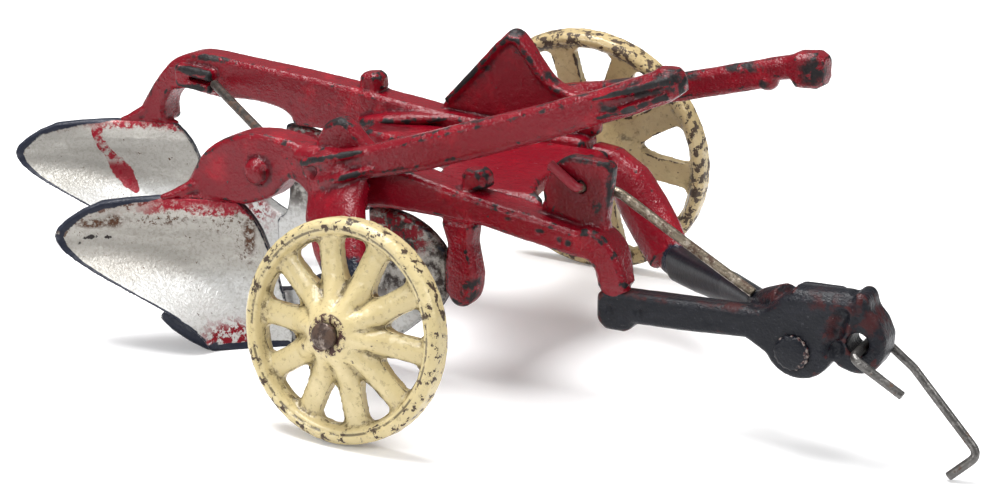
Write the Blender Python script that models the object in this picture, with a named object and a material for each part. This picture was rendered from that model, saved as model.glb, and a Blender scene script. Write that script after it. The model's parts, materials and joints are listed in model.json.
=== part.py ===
# A cast iron toy two-bottom plow, about 197 mm long over its castings.
#
# Axes: +X forward to the hitch, +Y to the plow's left, +Z up, floor at Z = 0.
# While the pieces are made, X = 0 is the right wheel's axle, and Y = 0 lies midway between the
# wheels. At the end everything moves together, so that the origin is the middle of the footprint.

import math

import bmesh
import bpy
from mathutils import Matrix, Vector

# The outlines below are drawn in millimetres and brought to the toy's size by this factor.
DRAWN_TO_REAL = 0.966
MM = 0.001 * DRAWN_TO_REAL

# Overall layout
CLEARANCE = 0.0003
RIGHT_FACE_Y = -20.0 * MM
CASTING_THICKNESS = 6.5 * MM
BOTTOM_SPACING_X = 46.5 * MM
BOTTOM_SPACING_Y = 40.0 * MM

# Plow bottoms
FOOT_Z = 27.0 * MM
MOLDBOARD_THICKNESS = 2.2 * MM
MOLDBOARD_DISH = 6.0 * MM
MOLDBOARD_TOP_DISH = 3.0 * MM
LANDSIDE_THICKNESS = 4.0 * MM
COULTER_THICKNESS = 2.2 * MM
COULTER_RADIUS = 14.4 * MM
COULTER_CENTRE_X = -10.0 * MM
COULTER_LEG_THICKNESS = 4.4 * MM
STUD_HEIGHT = 3.0 * MM

# Wheels and axles
RIGHT_WHEEL_RADIUS = 19.25 * MM
LEFT_WHEEL_RADIUS = 26.5 * MM
RIGHT_WHEEL_STANDOFF = 28.5 * MM
LEFT_WHEEL_STANDOFF = 22.0 * MM
RIGHT_AXLE_X = 0.0 * MM
LEFT_AXLE_X = -2.4 * MM
RIGHT_CAMBER = math.radians(10.0)
LEFT_CAMBER = math.radians(9.0)
SPOKES = 10
RIGHT_SPOKE_TURN = math.radians(32.8)
LEFT_SPOKE_TURN = math.radians(6.0)
RIGHT_WINDOW_ANGLE = math.radians(19.6)
LEFT_WINDOW_ANGLE = math.radians(21.6)
WEB_THICKNESS = 1.9 * MM
RIM_WIDTH = 5.0 * MM
RIM_DEPTH = 2.4 * MM
AXLE_RADIUS = 1.6 * MM
HUB_OUT = 5.4 * MM
HUB_IN = 5.0 * MM
AXLE_HEAD_RADIUS = 2.3 * MM
AXLE_HEAD_LENGTH = 1.3 * MM
AXLE_GRIP = 6.0 * MM

# Levers, rods and hitch
LEVER_WIDTH = 3.8 * MM
BRACKET_THICKNESS = 3.2 * MM
LEFT_ARM_SWEEP = 6.8 * MM
BRACE_DIAMETER = 1.9 * MM
LIFT_ROD_DIAMETER = 1.7 * MM
HOOK_DIAMETER = 1.5 * MM
HOOK_X = 80.2 * MM
HOOK_Z = 21.1 * MM
ROD_HOLE_X = 28.6 * MM
ROD_HOLE_Z = 40.4 * MM
HITCH_X = 69.7 * MM
HITCH_Z = 20.2 * MM
HITCH_BOSS_RADIUS = 5.9 * MM
HITCH_PLATE = 4.6 * MM
RIVET_X = 69.0 * MM
RIVET_Z = 18.9 * MM
HITCH_RIVET_RADIUS = 1.5 * MM
HITCH_HEAD_RADIUS = 3.1 * MM
RIVET_FLUTES = 16
LOOP_X = 79.6 * MM
LOOP_Z = 21.9 * MM
LOOP_HOLE_RADIUS = 2.1 * MM
LOOP_WIDTH = 6.4 * MM
BRACE_RIVET_RADIUS = 2.3 * MM

# Values that follow
RIGHT_INNER_Y = RIGHT_FACE_Y + CASTING_THICKNESS
LEFT_FACE_Y = RIGHT_FACE_Y + BOTTOM_SPACING_Y
LEFT_OUTER_Y = LEFT_FACE_Y + CASTING_THICKNESS
LEFT_MIDDLE_Y = (LEFT_FACE_Y + LEFT_OUTER_Y) / 2
RIGHT_WHEEL_Y = RIGHT_FACE_Y - RIGHT_WHEEL_STANDOFF
LEFT_WHEEL_Y = LEFT_OUTER_Y + LEFT_WHEEL_STANDOFF
EYE_LOW_Y = RIGHT_FACE_Y + 0.7 * MM
HOOK_PIVOT_Y = RIGHT_FACE_Y + 3.0 * MM


def clear_scene():
    for old in list(bpy.data.objects):
        bpy.data.objects.remove(old)


def paint(name, color, roughness, metallic=0.0):
    """One Principled material with a plain colour."""
    made = bpy.data.materials.new(name)
    made.use_nodes = True
    shader = made.node_tree.nodes["Principled BSDF"]
    shader.inputs["Base Color"].default_value = (*color, 1.0)
    shader.inputs["Roughness"].default_value = roughness
    shader.inputs["Metallic"].default_value = metallic
    made.diffuse_color = (*color, 1.0)
    return made


def red_paint(name):
    return paint(name + "_red", (0.36, 0.015, 0.03), 0.38)


def black_paint(name):
    return paint(name + "_black", (0.02, 0.02, 0.028), 0.42)


def aluminium_paint(name):
    return paint(name + "_aluminium", (0.62, 0.62, 0.61), 0.4, 0.5)


def cream_paint(name):
    return paint(name + "_cream", (0.72, 0.62, 0.38), 0.4)


def steel(name):
    return paint(name + "_steel", (0.22, 0.2, 0.18), 0.45, 0.9)


# Shape helpers


def smooth_run(points, steps=4):
    """A Catmull-Rom curve through the points, ends included."""
    ends = [2 * points[0] - points[1]] + list(points) + [2 * points[-1] - points[-2]]
    run = []
    for before, start, stop, after in zip(ends, ends[1:], ends[2:], ends[3:]):
        for step in range(steps):
            t = step / steps
            run.append(
                0.5
                * (
                    2 * start
                    + (stop - before) * t
                    + (2 * before - 5 * start + 4 * stop - after) * t * t
                    + (3 * start - before - 3 * stop + after) * t * t * t
                )
            )
    return run + [points[-1]]


def curved(*points_mm):
    """A smooth run through points given in millimetres."""
    return smooth_run([Vector(point) * MM for point in points_mm])


def corners(*points_mm):
    """Straight-sided corners given in millimetres."""
    return [Vector(point) * MM for point in points_mm]


def arc(centre, radius, start_degrees, end_degrees, steps):
    """Points on a circle, from one angle to another."""
    made = []
    for step in range(steps + 1):
        angle = math.radians(start_degrees + (end_degrees - start_degrees) * step / steps)
        made.append(Vector((centre[0] + radius * math.cos(angle), centre[1] + radius * math.sin(angle))))
    return made


def shifted(points, dx, dz=0.0):
    return [point + Vector((dx, dz)) for point in points]


def make_object(name, mesh_source, material):
    """Turn a bmesh into a named, smooth-shaded object and free the bmesh."""
    bmesh.ops.recalc_face_normals(mesh_source, faces=mesh_source.faces)
    mesh = bpy.data.meshes.new(name)
    mesh_source.to_mesh(mesh)
    mesh_source.free()
    mesh.materials.append(material)
    mesh.shade_smooth()
    mesh.set_sharp_from_angle(angle=math.radians(35))
    made = bpy.data.objects.new(name, mesh)
    bpy.context.scene.collection.objects.link(made)
    return made


def ease_edges(target, width):
    """Round the long edges as a casting's edges are."""
    bevel = target.modifiers.new("eased_edges", "BEVEL")
    bevel.width = width
    bevel.segments = 1
    bevel.limit_method = "ANGLE"
    bevel.angle_limit = math.radians(50)
    bevel.harden_normals = True


def upright_plate_of(name, outline, y_low, y_high, material, eased=0.5 * MM):
    """A plate that stands in the X-Z plane, from y_low to y_high."""
    shape = bmesh.new()
    ring = [shape.verts.new((point[0], y_low, point[1])) for point in outline]
    face = shape.faces.new(ring)
    grown = bmesh.ops.extrude_face_region(shape, geom=[face])
    moved = [item for item in grown["geom"] if isinstance(item, bmesh.types.BMVert)]
    bmesh.ops.translate(shape, verts=moved, vec=(0.0, y_high - y_low, 0.0))
    made = make_object(name, shape, material)
    if eased:
        ease_edges(made, eased)
    return made


def flat_plate_of(name, outline, z_low, z_high, material, eased=0.5 * MM):
    """A plate that lies in the X-Y plane, from z_low to z_high."""
    shape = bmesh.new()
    ring = [shape.verts.new((point[0], point[1], z_low)) for point in outline]
    face = shape.faces.new(ring)
    grown = bmesh.ops.extrude_face_region(shape, geom=[face])
    moved = [item for item in grown["geom"] if isinstance(item, bmesh.types.BMVert)]
    bmesh.ops.translate(shape, verts=moved, vec=(0.0, 0.0, z_high - z_low))
    made = make_object(name, shape, material)
    if eased:
        ease_edges(made, eased)
    return made


def skin_rings(shape, rings):
    """Join equal rings of vertices side by side and close both ends."""
    for first, second in zip(rings, rings[1:]):
        count = len(first)
        for index in range(count):
            following = (index + 1) % count
            shape.faces.new((first[index], first[following], second[following], second[index]))
    shape.faces.new(rings[0])
    shape.faces.new(reversed(rings[-1]))


def chamfered_section(half_width, half_depth, chamfer):
    """Eight corners of a rectangle whose corners are cut."""
    taken = min(chamfer, 0.45 * half_width, 0.45 * half_depth)
    quarter = ((half_width, half_depth - taken), (half_width - taken, half_depth))
    right = list(quarter)
    left = [(-u, v) for u, v in reversed(quarter)]
    lower = [(-u, -v) for u, v in right + left]
    return right + left + lower


def rounded_section(half_width, half_depth, corners_per_turn=16):
    """A rounded rectangle, as a superellipse."""
    made = []
    for step in range(corners_per_turn):
        angle = 2 * math.pi * (step + 0.5) / corners_per_turn
        u = math.copysign(abs(math.cos(angle)) ** 0.75, math.cos(angle)) * half_width
        v = math.copysign(abs(math.sin(angle)) ** 0.75, math.sin(angle)) * half_depth
        made.append((u, v))
    return made


def bar_of(name, stations, chamfer, material):
    """A bar along stations of (x, y, z, width, depth), in millimetres.

    The width is measured sideways, as near Y as the bar allows, and the depth across it.
    Without a chamfer, the section is rounded all round.
    """
    centres = [Vector(station[:3]) * MM for station in stations]
    shape = bmesh.new()
    rings = []
    for index, station in enumerate(stations):
        ahead = centres[min(index + 1, len(centres) - 1)]
        behind = centres[max(index - 1, 0)]
        along = (ahead - behind).normalized()
        side = Vector((0.0, 1.0, 0.0))
        side = (side - side.dot(along) * along).normalized()
        across = along.cross(side)
        half_width = station[3] * MM / 2
        half_depth = station[4] * MM / 2
        if chamfer:
            section = chamfered_section(half_width, half_depth, chamfer)
        else:
            section = rounded_section(half_width, half_depth)
        rings.append([shape.verts.new(centres[index] + side * u + across * v) for u, v in section])
    skin_rings(shape, rings)
    return make_object(name, shape, material)


def turned(name, profile, segments, material):
    """A closed solid of revolution about local Z, from (radius, height) points off the axis."""
    shape = bmesh.new()
    rings = []
    for step in range(segments):
        angle = 2 * math.pi * step / segments
        rings.append(
            [shape.verts.new((r * math.cos(angle), r * math.sin(angle), h)) for r, h in profile]
        )
    count = len(profile)
    for step in range(segments):
        first = rings[step]
        second = rings[(step + 1) % segments]
        for index in range(count):
            following = (index + 1) % count
            shape.faces.new((first[index], first[following], second[following], second[index]))
    return make_object(name, shape, material)


def solid_turned(name, profile, segments, material):
    """A solid of revolution about local Z, from (radius, height) points between two end discs."""
    shape = bmesh.new()
    rings = []
    for radius, height in profile:
        ring = []
        for step in range(segments):
            angle = 2 * math.pi * step / segments
            ring.append(
                shape.verts.new((radius * math.cos(angle), radius * math.sin(angle), height))
            )
        rings.append(ring)
    skin_rings(shape, rings)
    return make_object(name, shape, material)


def cut(target, cutter):
    """Cut a helper solid out of a piece."""
    cutter.hide_render = True
    cutter.display_type = "WIRE"
    boolean = target.modifiers.new("cut_" + cutter.name, "BOOLEAN")
    boolean.operation = "DIFFERENCE"
    boolean.solver = "EXACT"
    boolean.object = cutter


def cylinder_cutter(name, radius, length, segments=20):
    made = solid_turned(
        name, ((radius, -length / 2), (radius, length / 2)), segments, paint(name, (1, 1, 1), 1)
    )
    return made


def rod_of(name, points, diameter, material):
    """A round rod along a smooth path through the points."""
    path = bpy.data.curves.new(name, "CURVE")
    path.dimensions = "3D"
    path.bevel_depth = diameter / 2
    path.bevel_resolution = 2
    path.use_fill_caps = True
    spline = path.splines.new("POLY")
    spline.points.add(len(points) - 1)
    for target, point in zip(spline.points, points):
        target.co = (*point, 1.0)
    path.materials.append(material)
    made = bpy.data.objects.new(name, path)
    bpy.context.scene.collection.objects.link(made)
    return made


def rounded_path(points, bend_radius, steps=5):
    """A path of straight runs whose corners are bent to a radius."""
    path = [points[0]]
    for before, corner, after in zip(points, points[1:], points[2:]):
        back = (before - corner).normalized()
        ahead = (after - corner).normalized()
        angle = back.angle(ahead)
        reach = bend_radius / math.tan(angle / 2)
        reach = min(reach, 0.45 * (before - corner).length, 0.45 * (after - corner).length)
        start = corner + back * reach
        stop = corner + ahead * reach
        for step in range(steps + 1):
            t = step / steps
            path.append((1 - t) ** 2 * start + 2 * t * (1 - t) * corner + t * t * stop)
    path.append(points[-1])
    return path


# Plow bottoms


def moldboard_line_ends(height):
    """Where the level line of the moldboard's face at this height starts and ends, in X and Y."""
    rise = height / FOOT_Z
    front_face_y = RIGHT_FACE_Y + 1.2 * MM
    round_off = max(rise - 0.8, 0.0) / 0.2
    start_x = (-32.0 - 9.0 * rise ** 1.6 - 2.6 * round_off ** 2) * MM
    start = Vector((start_x, front_face_y))
    wing_x = (-44.0 - 28.5 * math.sin(min(rise, 0.78) / 0.78 * math.pi / 2) ** 3.0) * MM
    wing_y = (-28.5 - 9.5 * math.sin(min(rise, 0.78) / 0.78 * math.pi / 2)) * MM
    fall_back = max(rise - 0.78, 0.0) / 0.22
    wing_x += 6.4 * MM * fall_back ** 1.9
    wing_y += 6.2 * MM * fall_back ** 1.9
    return start, Vector((wing_x, wing_y))


def moldboard(name, dx, dy):
    """The curved plate that turns the furrow: level lines, dished in the middle."""
    shape = bmesh.new()
    rows = 16
    columns = 12
    faces = {}
    for back in (0, 1):
        for row in range(rows + 1):
            rise = row / rows
            height = FOOT_Z * rise
            start, stop = moldboard_line_ends(height)
            along = (stop - start).normalized()
            inward = Vector((along.y, -along.x))
            if inward.y < 0:
                inward = -inward
            for column in range(columns + 1):
                share = column / columns
                deepest = max(MOLDBOARD_DISH * math.sin(math.pi * rise), MOLDBOARD_TOP_DISH * rise)
                dish = deepest * math.sin(math.pi * share) ** 0.9
                point = start.lerp(stop, share) + inward * (dish + back * MOLDBOARD_THICKNESS)
                faces[back, row, column] = shape.verts.new((point.x + dx, point.y + dy, height))
    for row in range(rows):
        for column in range(columns):
            for back in (0, 1):
                shape.faces.new(
                    (
                        faces[back, row, column],
                        faces[back, row, column + 1],
                        faces[back, row + 1, column + 1],
                        faces[back, row + 1, column],
                    )
                )
    edge = [(row, 0) for row in range(rows)]
    edge += [(rows, column) for column in range(columns)]
    edge += [(row, columns) for row in range(rows, 0, -1)]
    edge += [(0, column) for column in range(columns, 0, -1)]
    for first, second in zip(edge, edge[1:] + edge[:1]):
        shape.faces.new((faces[0, *first], faces[0, *second], faces[1, *second], faces[1, *first]))
    return make_object(name, shape, aluminium_paint(name))


def landside(name, dx, dy):
    """The flat runner behind the share, whose sole rests on the floor."""
    outline = corners((-48, 0), (-26, 0)) + curved((-26, 0), (-21.5, 0.9), (-17.6, 2.6))[1:]
    outline += corners((-17.6, 9.2)) + curved((-20.5, 10.4), (-25, 12.6), (-29, 13.4))
    outline += corners((-34, 10), (-48, 7))
    y_low = RIGHT_FACE_Y + 3.6 * MM + dy
    made = upright_plate_of(
        name, shifted(outline, dx), y_low, y_low + LANDSIDE_THICKNESS, aluminium_paint(name)
    )
    return made


def coulter(name, dx, dy):
    """The part of a rolling coulter's disc that is cast in front of the share."""
    centre = (COULTER_CENTRE_X, 16.0 * MM)
    outline = corners((-14.2, 30.7), (-11.5, 30.7))
    outline += arc(centre, COULTER_RADIUS, 90, 37, 8)
    outline += corners((1.9, 21.5), (1.6, 15.5), (0.4, 13.6)) + curved((-4, 10.2), (-9, 6.2), (-17.3, 2.9))
    outline += curved((-17.3, 9.3), (-15, 11), (-13.8, 16), (-14.0, 22))
    y_low = RIGHT_FACE_Y + 1.4 * MM + dy
    return upright_plate_of(
        name, shifted(outline, dx), y_low, y_low + COULTER_THICKNESS, aluminium_paint(name), 0.4 * MM
    )


def coulter_leg(name, dx, dy):
    """The shank that drops from the beam to the coulter, rounded at its lower end."""
    outline = corners((1.3, 31.0), (2.8, 26.4), (2.3, 21.6))
    outline += curved((2.3, 17.6), (4.0, 15.2), (6.4, 15.3), (8.0, 17.4), (8.6, 21.0))
    outline += corners((7.4, 27.0), (8.0, 31.0))
    y_low = RIGHT_FACE_Y + 0.6 * MM + dy
    return upright_plate_of(
        name, shifted(outline, dx), y_low, y_low + COULTER_LEG_THICKNESS, red_paint(name), 0.8 * MM
    )


# Frame castings


def right_beam():
    """Arched standard, beam and front drop of the right half, cast in one."""
    outline = curved((-55.8, 27.3), (-53.7, 31.4), (-51, 35.4), (-47.2, 38.5), (-42, 40.7), (-36, 41.5))
    outline += curved((-31, 41.0), (-27, 40.0)) + corners((-9, 39.4), (5, 36.6), (28.8, 33.0))
    outline += curved((30.5, 33.6), (33.4, 33.0), (36.4, 29.8), (38.6, 24.2))
    outline += curved((33.2, 23.5), (32.9, 26.2), (31.2, 28.3), (28.8, 28.6))
    outline += corners((20, 29.8), (10, 31.3), (1.5, 31.6), (-9, 31.6), (-14, 31.0), (-26, 31.0))
    outline += curved((-28.3, 33.0), (-30.8, 33.9), (-33.2, 32.0), (-36.0, 29.3), (-41.7, 27.3))
    made = upright_plate_of(
        "right_beam", outline, RIGHT_FACE_Y, RIGHT_INNER_Y, red_paint("right_beam"), 0.9 * MM
    )
    thin_the_drop(made)
    return made


def thin_the_drop(beam):
    """The front drop tapers to a thinner foot on the drawbar."""
    for vertex in beam.data.vertices:
        if vertex.co.y > RIGHT_FACE_Y + 1 * MM and vertex.co.z < 30 * MM and vertex.co.x > 30 * MM:
            vertex.co.y -= 2.2 * MM * min((30 * MM - vertex.co.z) / (5 * MM), 1.0)


def left_beam():
    """Slender arched standard and beam of the left half, as far as the front arm."""
    outline = curved((-100.4, 27.3), (-97.6, 31.5), (-94, 36.5), (-89.5, 41.2), (-84, 43.5), (-78, 43.6))
    outline += corners((-68, 42.9), (-55.5, 42.0), (-43, 40.9), (-34, 39.8), (-22, 38.4), (10, 37.0))
    outline += corners((10, 31.5), (-20, 31.5), (-32, 31.6), (-43.8, 31.6), (-58, 31.4))
    outline += curved((-58.2, 33.0), (-61.5, 34.6), (-68.6, 35.4), (-77, 35.0), (-85.4, 36.0))
    outline += curved((-89.8, 35.2), (-92.2, 31.8), (-92.4, 27.3))
    return upright_plate_of(
        "left_beam", outline, LEFT_FACE_Y, LEFT_OUTER_Y, red_paint("left_beam"), 0.9 * MM
    )


def left_front_arm():
    """The curved arm that brings the left half down and in to its drawbar."""
    middle = LEFT_MIDDLE_Y / MM
    width = CASTING_THICKNESS / MM - 0.3
    stations = (
        (11.0, middle, 33.5, width, 5.2),
        (15.0, middle - 0.3, 32.6, width - 0.2, 6.6),
        (19.6, middle - 1.2, 29.4, width - 0.4, 8.6),
        (23.4, middle - 2.6, 25.0, width - 0.6, 9.6),
        (27.4, middle - 4.8, 21.2, width - 0.8, 9.4),
        (30.4, middle - LEFT_ARM_SWEEP / MM, 18.4, width - 1.0, 8.6),
    )
    return bar_of("left_front_arm", stations, 0.0, red_paint("left_front_arm"))


def cross_plate():
    """The level web that ties the two halves together."""
    right = (RIGHT_INNER_Y + CLEARANCE) / MM
    left = (LEFT_FACE_Y - CLEARANCE) / MM
    outline = corners((-37, left), (-33, left - 10.2), (-20, left - 11.7), (-8, left - 18.7))
    outline += corners((-4, right), (19, right))
    outline += curved((15, right + 4.2), (12.5, right + 12.2), (13, left - 10.7), (16, left))
    return flat_plate_of("cross_plate", outline, 32.6 * MM, 35.8 * MM, red_paint("cross_plate"), 0.6 * MM)


def wheel_bracket():
    """The upright triangular bracket over the left wheel's leg."""
    outline = corners((-23.6, 38.9)) + curved((-16.4, 46.8), (-9.6, 54.2), (-7.2, 56.2), (-5.2, 55.6))
    outline += curved((-3.4, 53.6), (-0.6, 49.8), (2.4, 46.9), (6.5, 45.6), (11.8, 45.4))
    outline += corners((11.6, 37.3), (-21, 38.7))
    y_high = LEFT_OUTER_Y - 0.6 * MM
    return upright_plate_of(
        "wheel_bracket", outline, y_high - BRACKET_THICKNESS, y_high, red_paint("wheel_bracket"), 0.8 * MM
    )


def lever_ear():
    """The rounded ear behind the right lever's root."""
    outline = corners((-25.6, 40.3)) + curved((-24.6, 42.6), (-22.8, 45.2), (-19.8, 46.4), (-17.4, 45.2))
    outline += curved((-15.0, 42.8), (-12.6, 41.2)) + corners((-12.4, 39.9))
    y_low = RIGHT_FACE_Y + 1.0 * MM
    return upright_plate_of("lever_ear", outline, y_low, y_low + 3.4 * MM, red_paint("lever_ear"), 0.7 * MM)


def rod_plate():
    """The upright plate on the right beam that holds the lift rod."""
    outline = corners((21.6, 35.2)) + curved((21.2, 38.6), (22.6, 42.4), (24.4, 44.4), (26.6, 45.4))
    outline += corners((33.4, 45.1), (34.2, 44.2), (33.6, 39.8), (33.0, 34.0), (28.8, 33.6))
    y_low = RIGHT_FACE_Y + 2.6 * MM
    made = upright_plate_of("rod_plate", outline, y_low, y_low + 2.8 * MM, red_paint("rod_plate"))
    hole = cylinder_cutter("rod_plate_hole", LIFT_ROD_DIAMETER / 2 + CLEARANCE, 12 * MM, 12)
    hole.rotation_euler = (math.pi / 2, 0.0, 0.0)
    hole.location = (ROD_HOLE_X, y_low, ROD_HOLE_Z)
    cut(made, hole)
    return made


def beam_stud(name, x, y_middle, beam_top):
    """The squared top end of a coulter shank, standing on the beam."""
    stations = (
        (x / MM, y_middle / MM, beam_top / MM + 0.3, 4.6, 5.0),
        (x / MM - 0.1, y_middle / MM, (beam_top + 0.72 * STUD_HEIGHT) / MM + 0.3, 4.4, 4.7),
        (x / MM - 0.2, y_middle / MM, (beam_top + STUD_HEIGHT) / MM + 0.3, 2.8, 3.2),
    )
    return bar_of(name, stations, 1.2 * MM, red_paint(name))


def wheel_leg(name, top, bottom, top_size, material):
    """A broad leg that tapers from the beam's outer face to the axle boss."""
    x0, y0, z0 = top
    x1, y1, z1 = bottom
    stations = [(x0 + 0.9, y0, z0, 5.0, top_size)]
    for share, swell in ((0.18, 1.0), (0.38, 0.93), (0.6, 0.72), (0.82, 0.52), (1.0, 0.46)):
        lean = share ** 1.35
        stations.append(
            (
                x0 + (x1 - x0) * lean,
                y0 + (y1 - y0) * share,
                z0 + (z1 - z0) * share ** 0.95,
                5.6 - 0.6 * share,
                top_size * swell,
            )
        )
    return bar_of(name, stations, 0.0, material)


# Wheels


def wheel_height(radius, camber):
    """Axle height of a leaning wheel whose tread touches the floor."""
    return radius * math.cos(camber) + (RIM_WIDTH / 2 - 0.9 * MM) * math.sin(camber)


def wheel_profile(radius):
    """Half section of rim, dished web and hub, as (radius, height) with +height outward."""
    bore = AXLE_RADIUS + CLEARANCE
    half = RIM_WIDTH / 2
    inside = radius - RIM_DEPTH
    return (
        (bore, -HUB_IN),
        (3.4 * MM, -HUB_IN),
        (0.25 * radius, -3.6 * MM),
        (0.36 * radius, -1.5 * MM),
        (0.46 * radius, -1.0 * MM),
        (inside - 0.5 * MM, -1.0 * MM),
        (inside, 0.4 * MM - half),
        (inside + 0.7 * MM, -half),
        (radius - 0.9 * MM, -half),
        (radius, 0.9 * MM - half),
        (radius, half - 0.9 * MM),
        (radius - 0.9 * MM, half),
        (inside + 0.7 * MM, half),
        (inside, half - 0.4 * MM),
        (inside - 0.5 * MM, WEB_THICKNESS - 1.0 * MM),
        (0.5 * radius, WEB_THICKNESS - 0.3 * MM),
        (0.3 * radius, WEB_THICKNESS + 1.9 * MM),
        (3.3 * MM, HUB_OUT),
        (bore, HUB_OUT),
    )


def spoke_windows(name, radius, turn, opening):
    """The ten openings between the spokes, wide at the rim and pointed at the hub."""
    windows = []
    inner = 0.46 * radius
    outer = radius - RIM_DEPTH - 0.75 * MM
    half_angle = opening / 2
    middle_reach = inner + 0.35 * (outer - inner)
    edge = (
        (inner, -0.12 * half_angle),
        (inner + 0.1 * (outer - inner), -0.45 * half_angle),
        (middle_reach, -0.8 * half_angle),
        (outer - 1.1 * MM, -half_angle),
        (outer - 0.2 * MM, -0.78 * half_angle),
        (outer, 0.0),
        (outer - 0.2 * MM, 0.78 * half_angle),
        (outer - 1.1 * MM, half_angle),
        (middle_reach, 0.8 * half_angle),
        (inner + 0.1 * (outer - inner), 0.45 * half_angle),
        (inner, 0.12 * half_angle),
    )
    for index in range(SPOKES):
        middle = 2 * math.pi * index / SPOKES + turn
        shape = bmesh.new()
        ring = []
        for reach, offset in edge:
            angle = middle + offset
            ring.append(
                shape.verts.new((reach * math.cos(angle), reach * math.sin(angle), -6 * MM))
            )
        face = shape.faces.new(ring)
        grown = bmesh.ops.extrude_face_region(shape, geom=[face])
        moved = [item for item in grown["geom"] if isinstance(item, bmesh.types.BMVert)]
        bmesh.ops.translate(shape, verts=moved, vec=(0.0, 0.0, 12 * MM))
        windows.append(make_object(f"{name}_window_{index}", shape, paint("window", (1, 1, 1), 1)))
    return windows


def wheel_frame(centre, outward_y, camber):
    """A matrix that stands local Z along the wheel's outward axle."""
    outward = Vector((0.0, outward_y * math.cos(camber), math.sin(camber)))
    turn = outward.to_track_quat("Z", "X").to_matrix().to_4x4()
    return Matrix.Translation(centre) @ turn


def wheel_and_pin(side, radius, x, y, camber, outward_y, turn, opening):
    """A spoked wheel and the headed pin that it turns on."""
    centre = Vector((x, y, wheel_height(radius, camber)))
    frame = wheel_frame(centre, outward_y, camber)
    wheel = turned(side + "_wheel", wheel_profile(radius), 40, cream_paint(side + "_wheel"))
    wheel.matrix_world = frame
    for window in spoke_windows(side, radius, turn, opening):
        window.matrix_world = frame
        cut(wheel, window)
    head_base = HUB_OUT + CLEARANCE
    profile = (
        (AXLE_RADIUS, -HUB_IN - AXLE_GRIP),
        (AXLE_RADIUS, head_base),
        (AXLE_HEAD_RADIUS, head_base + 0.01 * MM),
        (AXLE_HEAD_RADIUS, head_base + 0.7 * AXLE_HEAD_LENGTH),
        (0.7 * AXLE_HEAD_RADIUS, head_base + AXLE_HEAD_LENGTH),
    )
    pin = solid_turned(side + "_axle_pin", profile, 16, steel(side + "_axle_pin"))
    pin.matrix_world = frame
    return wheel, pin, frame


def pin_hole(leg, name, frame):
    """Drill the axle's seat in a wheel leg."""
    hole = cylinder_cutter(name, AXLE_RADIUS + CLEARANCE, 2 * (HUB_IN + AXLE_GRIP + 1.5 * MM), 16)
    hole.matrix_world = frame
    cut(leg, hole)


# Levers


def right_lever():
    """The near lever: ribbed root, straight grip with a thicker end."""
    face = RIGHT_FACE_Y / MM
    wide = LEVER_WIDTH / MM
    stations = (
        (-24.2, face - 2.7, 38.0, wide + 0.6, 3.0),
        (-19.0, face - 2.7, 38.9, wide + 0.8, 4.4),
        (-10.0, face - 2.4, 41.0, wide + 0.4, 5.4),
        (0.3, face - 1.9, 44.0, wide, 6.0),
        (11.5, face - 0.7, 47.8, wide, 6.0),
        (22.5, face + 0.5, 51.6, wide, 5.7),
        (33.1, face + 1.6, 55.6, wide, 5.2),
        (37.5, face + 2.0, 57.4, wide + 0.4, 5.4),
        (43.6, face + 2.4, 60.0, wide + 0.6, 5.2),
        (46.6, face + 2.6, 61.5, wide - 0.4, 3.8),
    )
    return bar_of("right_lever", stations, 0.9 * MM, red_paint("right_lever"))


def left_lever():
    """The far lever, seen past the near one, with a stepped grip end."""
    outer = LEFT_OUTER_Y / MM
    wide = LEVER_WIDTH / MM
    stations = (
        (-8.0, outer + 2.5, 40.9, wide, 4.4),
        (2.0, outer + 2.4, 42.9, wide, 4.6),
        (11.6, outer + 1.9, 44.8, wide, 4.6),
        (27.0, outer + 1.1, 48.1, wide, 4.8),
        (40.2, outer + 0.4, 51.8, wide, 4.8),
        (44.4, outer + 0.3, 53.0, wide, 4.8),
        (45.6, outer + 0.3, 53.9, wide, 3.8),
        (49.4, outer + 0.2, 54.8, wide + 0.2, 4.0),
        (50.8, outer + 0.1, 54.6, wide + 1.2, 6.0),
        (54.6, outer, 54.9, wide + 1.2, 6.4),
        (56.0, outer - 0.1, 54.9, wide, 4.8),
    )
    return bar_of("left_lever", stations, 0.9 * MM, red_paint("left_lever"))


# Hitch


def hitch_hole(target, name, x, z, radius):
    """Drill a hole across the hitch."""
    hole = cylinder_cutter(name, radius, 40 * MM, 16)
    hole.rotation_euler = (math.pi / 2, 0.0, 0.0)
    hole.location = (x, RIGHT_FACE_Y, z)
    cut(target, hole)


def right_drawbar():
    """The black front bar of the right half, with the round hitch boss and the open eye."""
    outline = corners((33.2, 22.9), (33.2, 17.8), (34.8, 16.5), (38.8, 16.6), (40.0, 18.4))
    outline += corners((50, 18.9), (60.5, 19.8))
    outline += arc((HITCH_X, HITCH_Z), HITCH_BOSS_RADIUS, 205, 350, 10)
    outline += curved((75.9, 20.4), (78.0, 22.6), (79.0, 25.6), (78.6, 28.2), (76.4, 28.8))
    outline += curved((71.0, 28.6), (67.0, 27.8), (63.6, 25.0), (60.0, 24.3)) + corners((39.0, 23.2))
    y_high = RIGHT_FACE_Y + HITCH_PLATE
    made = upright_plate_of(
        "right_drawbar", outline, RIGHT_FACE_Y, y_high, black_paint("right_drawbar"), 0.6 * MM
    )
    eye = hitch_eye()
    eye.hide_render = True
    eye.display_type = "WIRE"
    joined = made.modifiers.new("join_eye", "BOOLEAN")
    joined.operation = "UNION"
    joined.solver = "EXACT"
    joined.object = eye
    hitch_hole(made, "drawbar_rivet_hole", RIVET_X, RIVET_Z, HITCH_RIVET_RADIUS + CLEARANCE)
    hitch_hole(made, "drawbar_eye_hole", LOOP_X, LOOP_Z, LOOP_HOLE_RADIUS)
    return made


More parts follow.
